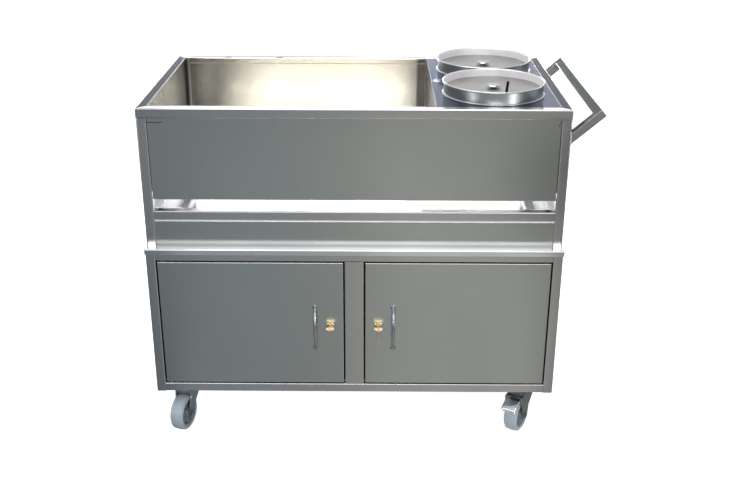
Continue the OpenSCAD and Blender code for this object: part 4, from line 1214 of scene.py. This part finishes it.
low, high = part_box("push_handle")
tilt = math.atan2(HANDLE_UP, HANDLE_OUT)
rise = Vector((math.cos(tilt), 0, math.sin(tilt)))
over = Vector((-math.sin(tilt), 0, math.cos(tilt)))
half = HANDLE_TUBE / 2
bar_at = Vector((right_x + HANDLE_OUT, 0, high.z - half * (math.sin(tilt) + math.cos(tilt))))
leg_y = (low.y + half, high.y - half)
outline = round_outline(HANDLE_TUBE, HANDLE_TUBE, HANDLE_CORNER)
rings = []
for y, inner_side in ((leg_y[0], 1), (leg_y[1], -1)):
    inner = Vector((0, inner_side, 0))
    bend_at = Vector((bar_at.x, y, bar_at.z))
    root_at = bend_at - rise * (HANDLE_OUT / rise.x)
    at_bend = [bend_at + u * (inner - rise) + v * over for u, v in outline]
    at_root = [root_at + u * inner + v * over - rise * (v * over.x / rise.x) for u, v in outline]
    rings += [at_root, at_bend] if inner_side > 0 else [at_bend, at_root]
bm = bmesh.new()
loft(bm, rings, caps=True)
piece("push_handle_loop", bm, handle_painted_top, "cart", ["push_handle"])
handle_roots = (rings[0], rings[-1])

# ---- Welds ----
# Small beads show where the loop meets the body, along its mitres and at the feet of the upper
# posts. A short tack crosses each upper corner of the front panel, darkened by the heat.

BEAD_R = 1.3 * MM
TACK_R = 1.1 * MM
TACK_DROP = 36 * MM
heat_tint = turned((0.13, 0.12, 0.12), "heat_tinted_weld", 0.4, 0.45, 1.0)


def weld(bm, path, radius, loop=False):
    """A rippled bead along a row of points."""
    dense = []
    count = len(path)
    for i in range(count if loop else count - 1):
        a, b = Vector(path[i]), Vector(path[(i + 1) % count])
        pieces = max(1, round((b - a).length / (0.9 * MM)))
        dense += [a.lerp(b, k / pieces) for k in range(pieces)]
    if not loop:
        dense.append(Vector(path[-1]))
    radii = [radius * (1 + 0.22 * math.sin(i * 1.9)) for i in range(len(dense))]
    if not loop:
        radii[0] = radii[-1] = radius * 0.3
    sweep(bm, dense, radii, 10, loop=loop)


bm = bmesh.new()
for root in handle_roots:
    weld(bm, [point + Vector((0.5 * MM, 0, 0)) for point in root], BEAD_R, loop=True)
piece("handle_welds", bm, frame_level, "cart")

panel_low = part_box("front_panel")[0]
bm = bmesh.new()
tack_z = top_z - TACK_DROP
weld(bm, [(in_left - 1 * MM, panel_low.y, tack_z), (in_left + 40 * MM, panel_low.y, tack_z + 0.6 * MM)], TACK_R)
weld(bm, [(in_right - 7 * MM, panel_low.y, tack_z - 7 * MM), (in_right - 2 * MM, panel_low.y, tack_z + 7 * MM)],
     TACK_R)
piece("panel_tacks", bm, heat_tint, "cart")

straw_tint = turned((0.34, 0.25, 0.19), "straw_tinted_seam", 0.35, 0.35, 1.0)
SEAM_DROP = 15 * MM
SEAM_R = 0.9 * MM
bm = bmesh.new()
seam = [(in_left + SHEET + 12 * MM, in_back - SHEET, top_z - SEAM_DROP),
        (deck_low.x - 2 * MM, in_back - SHEET, top_z - SEAM_DROP)]
weld(bm, seam, SEAM_R)
weld(bm, [(in_left + 12 * MM, back_y - 2 * MM, top_z), (deck_low.x, back_y - 2 * MM, top_z)], SEAM_R)
weld(bm, [(deck_low.x - 0.5 * MM, in_back - SHEET - 0.5 * MM, pan_low.z + 8 * MM),
          (deck_low.x - 0.5 * MM, in_back - SHEET - 0.5 * MM, top_z - 3 * MM)], 2 * MM)
piece("pan_seams", bm, straw_tint, "cart")
bm = bmesh.new()
for x, length in ((-395 * MM, 24 * MM), (-240 * MM, 20 * MM)):
    weld(bm, [(mid_x + x, in_back + 6 * MM, top_z), (mid_x + x + length, in_back + 6 * MM, top_z)], 1.6 * MM)
piece("rim_tacks", bm, heat_tint, "cart")

# ---- Floor, light and camera ----
# A plain white floor in a soft white studio. The studio is bright behind the cart and overhead,
# and dim in front but for one tall window, so that the brushed steel shows its shape.

FLOOR_SIZE = 16.0
GROUND_GLOW = 0.37
PATCH_DEPTH = 0.88
EYE_GLOW = 0.86
scene = bpy.context.scene
scene.view_settings.view_transform = "Standard"

bm = bmesh.new()
bmesh.ops.create_grid(bm, x_segments=8, y_segments=8, size=FLOOR_SIZE / 2)
floor_mesh = bpy.data.meshes.new("studio_floor")
bm.to_mesh(floor_mesh)
bm.free()
floor = bpy.data.objects.new("studio_floor", floor_mesh)
scene.collection.objects.link(floor)


def smooth_step(tree, value, start, end, low=0.0, high=1.0):
    """A smooth change from low to high while value goes from start to end."""
    made = add_node(tree, "MapRange", {"Value": value, "From Min": start, "From Max": end, "To Min": low,
                                       "To Max": high}, interpolation_type="SMOOTHSTEP")
    return made.outputs[0]


def maths(tree, operation, a, b, c=0.0):
    """One arithmetic node, and what it puts out."""
    return add_node(tree, "Math", {0: a, 1: b, 2: c}, operation=operation).outputs[0]


def product(tree, *values):
    """Multiplies any number of values."""
    total = values[0]
    for value in values[1:]:
        total = maths(tree, "MULTIPLY", total, value)
    return total


floor_material = bpy.data.materials.new("studio_floor")
floor_material.use_nodes = True
tree = floor_material.node_tree
tree.nodes.clear()
path = add_node(tree, "LightPath")
place = add_node(tree, "SeparateXYZ", {0: add_node(tree, "TexCoord").outputs["Object"]})
FAN_Y = 2.1
# Reflections see a floor shaded in a fan that opens toward the front; the eye sees it plain.
ahead = maths(tree, "SUBTRACT", FAN_Y, place.outputs["Y"])
fan = maths(tree, "DIVIDE", place.outputs["X"], ahead)
bands = add_node(tree, "TexNoise", {"W": fan, "Scale": 9.0, "Detail": 1.0}, noise_dimensions="1D")
banded = product(tree, smooth_step(tree, bands.outputs[0], 0.3, 0.7, 0.9, 1.08),
                 smooth_step(tree, fan, -0.22, 0.15, 0.93, 1.42))
ends = product(tree, smooth_step(tree, fan, -0.235, -0.2, 0.58, 1.0),
               smooth_step(tree, fan, 0.18, 0.205, 1.0, 0.62))
far = product(tree, smooth_step(tree, place.outputs["Y"], -3.3, -3.15, 0.8, 1.0),
              smooth_step(tree, place.outputs["Y"], -1.9, -1.5, 1.0, 0.88))
patch = product(tree, smooth_step(tree, fan, 0.14, 0.16), smooth_step(tree, place.outputs["Y"], -3.4, -3.2),
                smooth_step(tree, place.outputs["Y"], -1.6, -1.9), PATCH_DEPTH)
strength = product(tree, banded, ends, far, maths(tree, "SUBTRACT", 1.0, patch), GROUND_GLOW)
warmth = smooth_step(tree, fan, -0.16, 0.02)
tint = add_node(tree, "Mix", {0: warmth, 6: (0.86, 0.97, 1.04, 1), 7: (1.0, 1.0, 0.95, 1)},
                data_type="RGBA")
seen_in_steel = add_node(tree, "Emission", {"Color": tint.outputs[2], "Strength": strength})
seen_glow = add_node(tree, "Emission", {"Strength": EYE_GLOW})
seen_matte = add_node(tree, "BsdfDiffuse", {"Color": (0.5, 0.5, 0.5, 1)})
seen_by_eye = add_node(tree, "AddShader", {0: seen_glow.outputs[0], 1: seen_matte.outputs[0]})
chosen = add_node(tree, "MixShader", {0: path.outputs["Is Camera Ray"], 1: seen_in_steel.outputs[0],
                                      2: seen_by_eye.outputs[0]})
add_node(tree, "OutputMaterial", {"Surface": chosen.outputs[0]})
floor_mesh.materials.append(floor_material)

world = bpy.data.worlds.new("studio")
scene.world = world
world.use_nodes = True
tree = world.node_tree
tree.nodes.clear()
aim = add_node(tree, "SeparateXYZ", {0: add_node(tree, "TexCoord").outputs["Generated"]})
rise_up = smooth_step(tree, aim.outputs["Z"], 0.06, 0.17, 0.06, 1.0)
fall = smooth_step(tree, aim.outputs["Z"], 0.45, 0.75, 1.12, 0.8)
back_sky = product(tree, rise_up, fall)
front_sky = smooth_step(tree, aim.outputs["Z"], 0.0, 1.0, 0.1, 0.75)
to_back = smooth_step(tree, aim.outputs["Y"], -0.15, 0.35)
sky = add_node(tree, "Mix", {0: to_back, 2: front_sky, 3: back_sky})
WINDOW_GLOW = 3.2
across = maths(tree, "DIVIDE", maths(tree, "ABSOLUTE", aim.outputs["X"], 0.0),
               maths(tree, "MAXIMUM", product(tree, aim.outputs["Y"], -1.0), 0.05))
window_side = smooth_step(tree, across, 0.24, 0.32, 1.0, 0.0)
window_foot = smooth_step(tree, aim.outputs["Z"], 0.12, 0.2)
window_head = smooth_step(tree, aim.outputs["Z"], 0.5, 0.62, 1.0, 0.0)
window = product(tree, window_side, window_foot, window_head)
strength = maths(tree, "MULTIPLY_ADD", window, WINDOW_GLOW, sky.outputs[0])
studio = add_node(tree, "Background", {"Color": (0.98, 0.985, 1.0, 1), "Strength": strength})
white = add_node(tree, "Background", {"Color": (1, 1, 1, 1), "Strength": 1.0})
path = add_node(tree, "LightPath")
chosen = add_node(tree, "MixShader", {0: path.outputs["Is Camera Ray"], 1: studio.outputs[0],
                                      2: white.outputs[0]})
add_node(tree, "OutputWorld", {"Surface": chosen.outputs[0]})


def soft_box(name, at, target, width, depth, power):
    """A soft box hung at a point and turned to another."""
    light = bpy.data.lights.new(name, "AREA")
    light.shape = "RECTANGLE"
    light.size, light.size_y = width, depth
    light.energy = power
    obj = bpy.data.objects.new(name, light)
    scene.collection.objects.link(obj)
    obj.location = at
    obj.rotation_euler = (Vector(target) - Vector(at)).to_track_quat("-Z", "Y").to_euler()


for name, at, target, width, depth, power in (
        ("overhead_soft_box", (mid_x, 0, 2.6), (mid_x, 0, 0.9), 1.6, 1.0, 30),
        ("right_strip_box", (2.3, -2.6, 0.9), (0.2, -0.2, 0.4), 0.35, 1.7, 26),
        ("low_back_box", (mid_x, 1.9, 0.85), (mid_x, 0, 0.62), 2.6, 0.4, 60),
        ("left_strip_box", (-2.5, -2.3, 0.9), (-0.2, -0.2, 0.4), 0.35, 1.7, 18)):
    soft_box(name, at, target, width, depth, power)

CAMERA_AT = (0.00924, -2.6329, 1.5572)
LENS, SENSOR = 48.73, 36.0
PITCH, YAW, ROLL = (math.radians(a) for a in (22.68, -0.22, 0.2))
forward = Vector((math.sin(YAW) * math.cos(PITCH), math.cos(YAW) * math.cos(PITCH), -math.sin(PITCH)))
level_right = Vector((math.cos(YAW), -math.sin(YAW), 0))
level_up = level_right.cross(forward)
camera_right = math.cos(ROLL) * level_right + math.sin(ROLL) * level_up
camera_up = -math.sin(ROLL) * level_right + math.cos(ROLL) * level_up
camera_data = bpy.data.cameras.new("camera")
camera_data.lens = LENS
camera_data.sensor_width = SENSOR
camera = bpy.data.objects.new("camera", camera_data)
scene.collection.objects.link(camera)
turn = Matrix((camera_right, camera_up, -forward)).transposed()
camera.matrix_world = Matrix.Translation(CAMERA_AT) @ turn.to_4x4()
scene.camera = camera
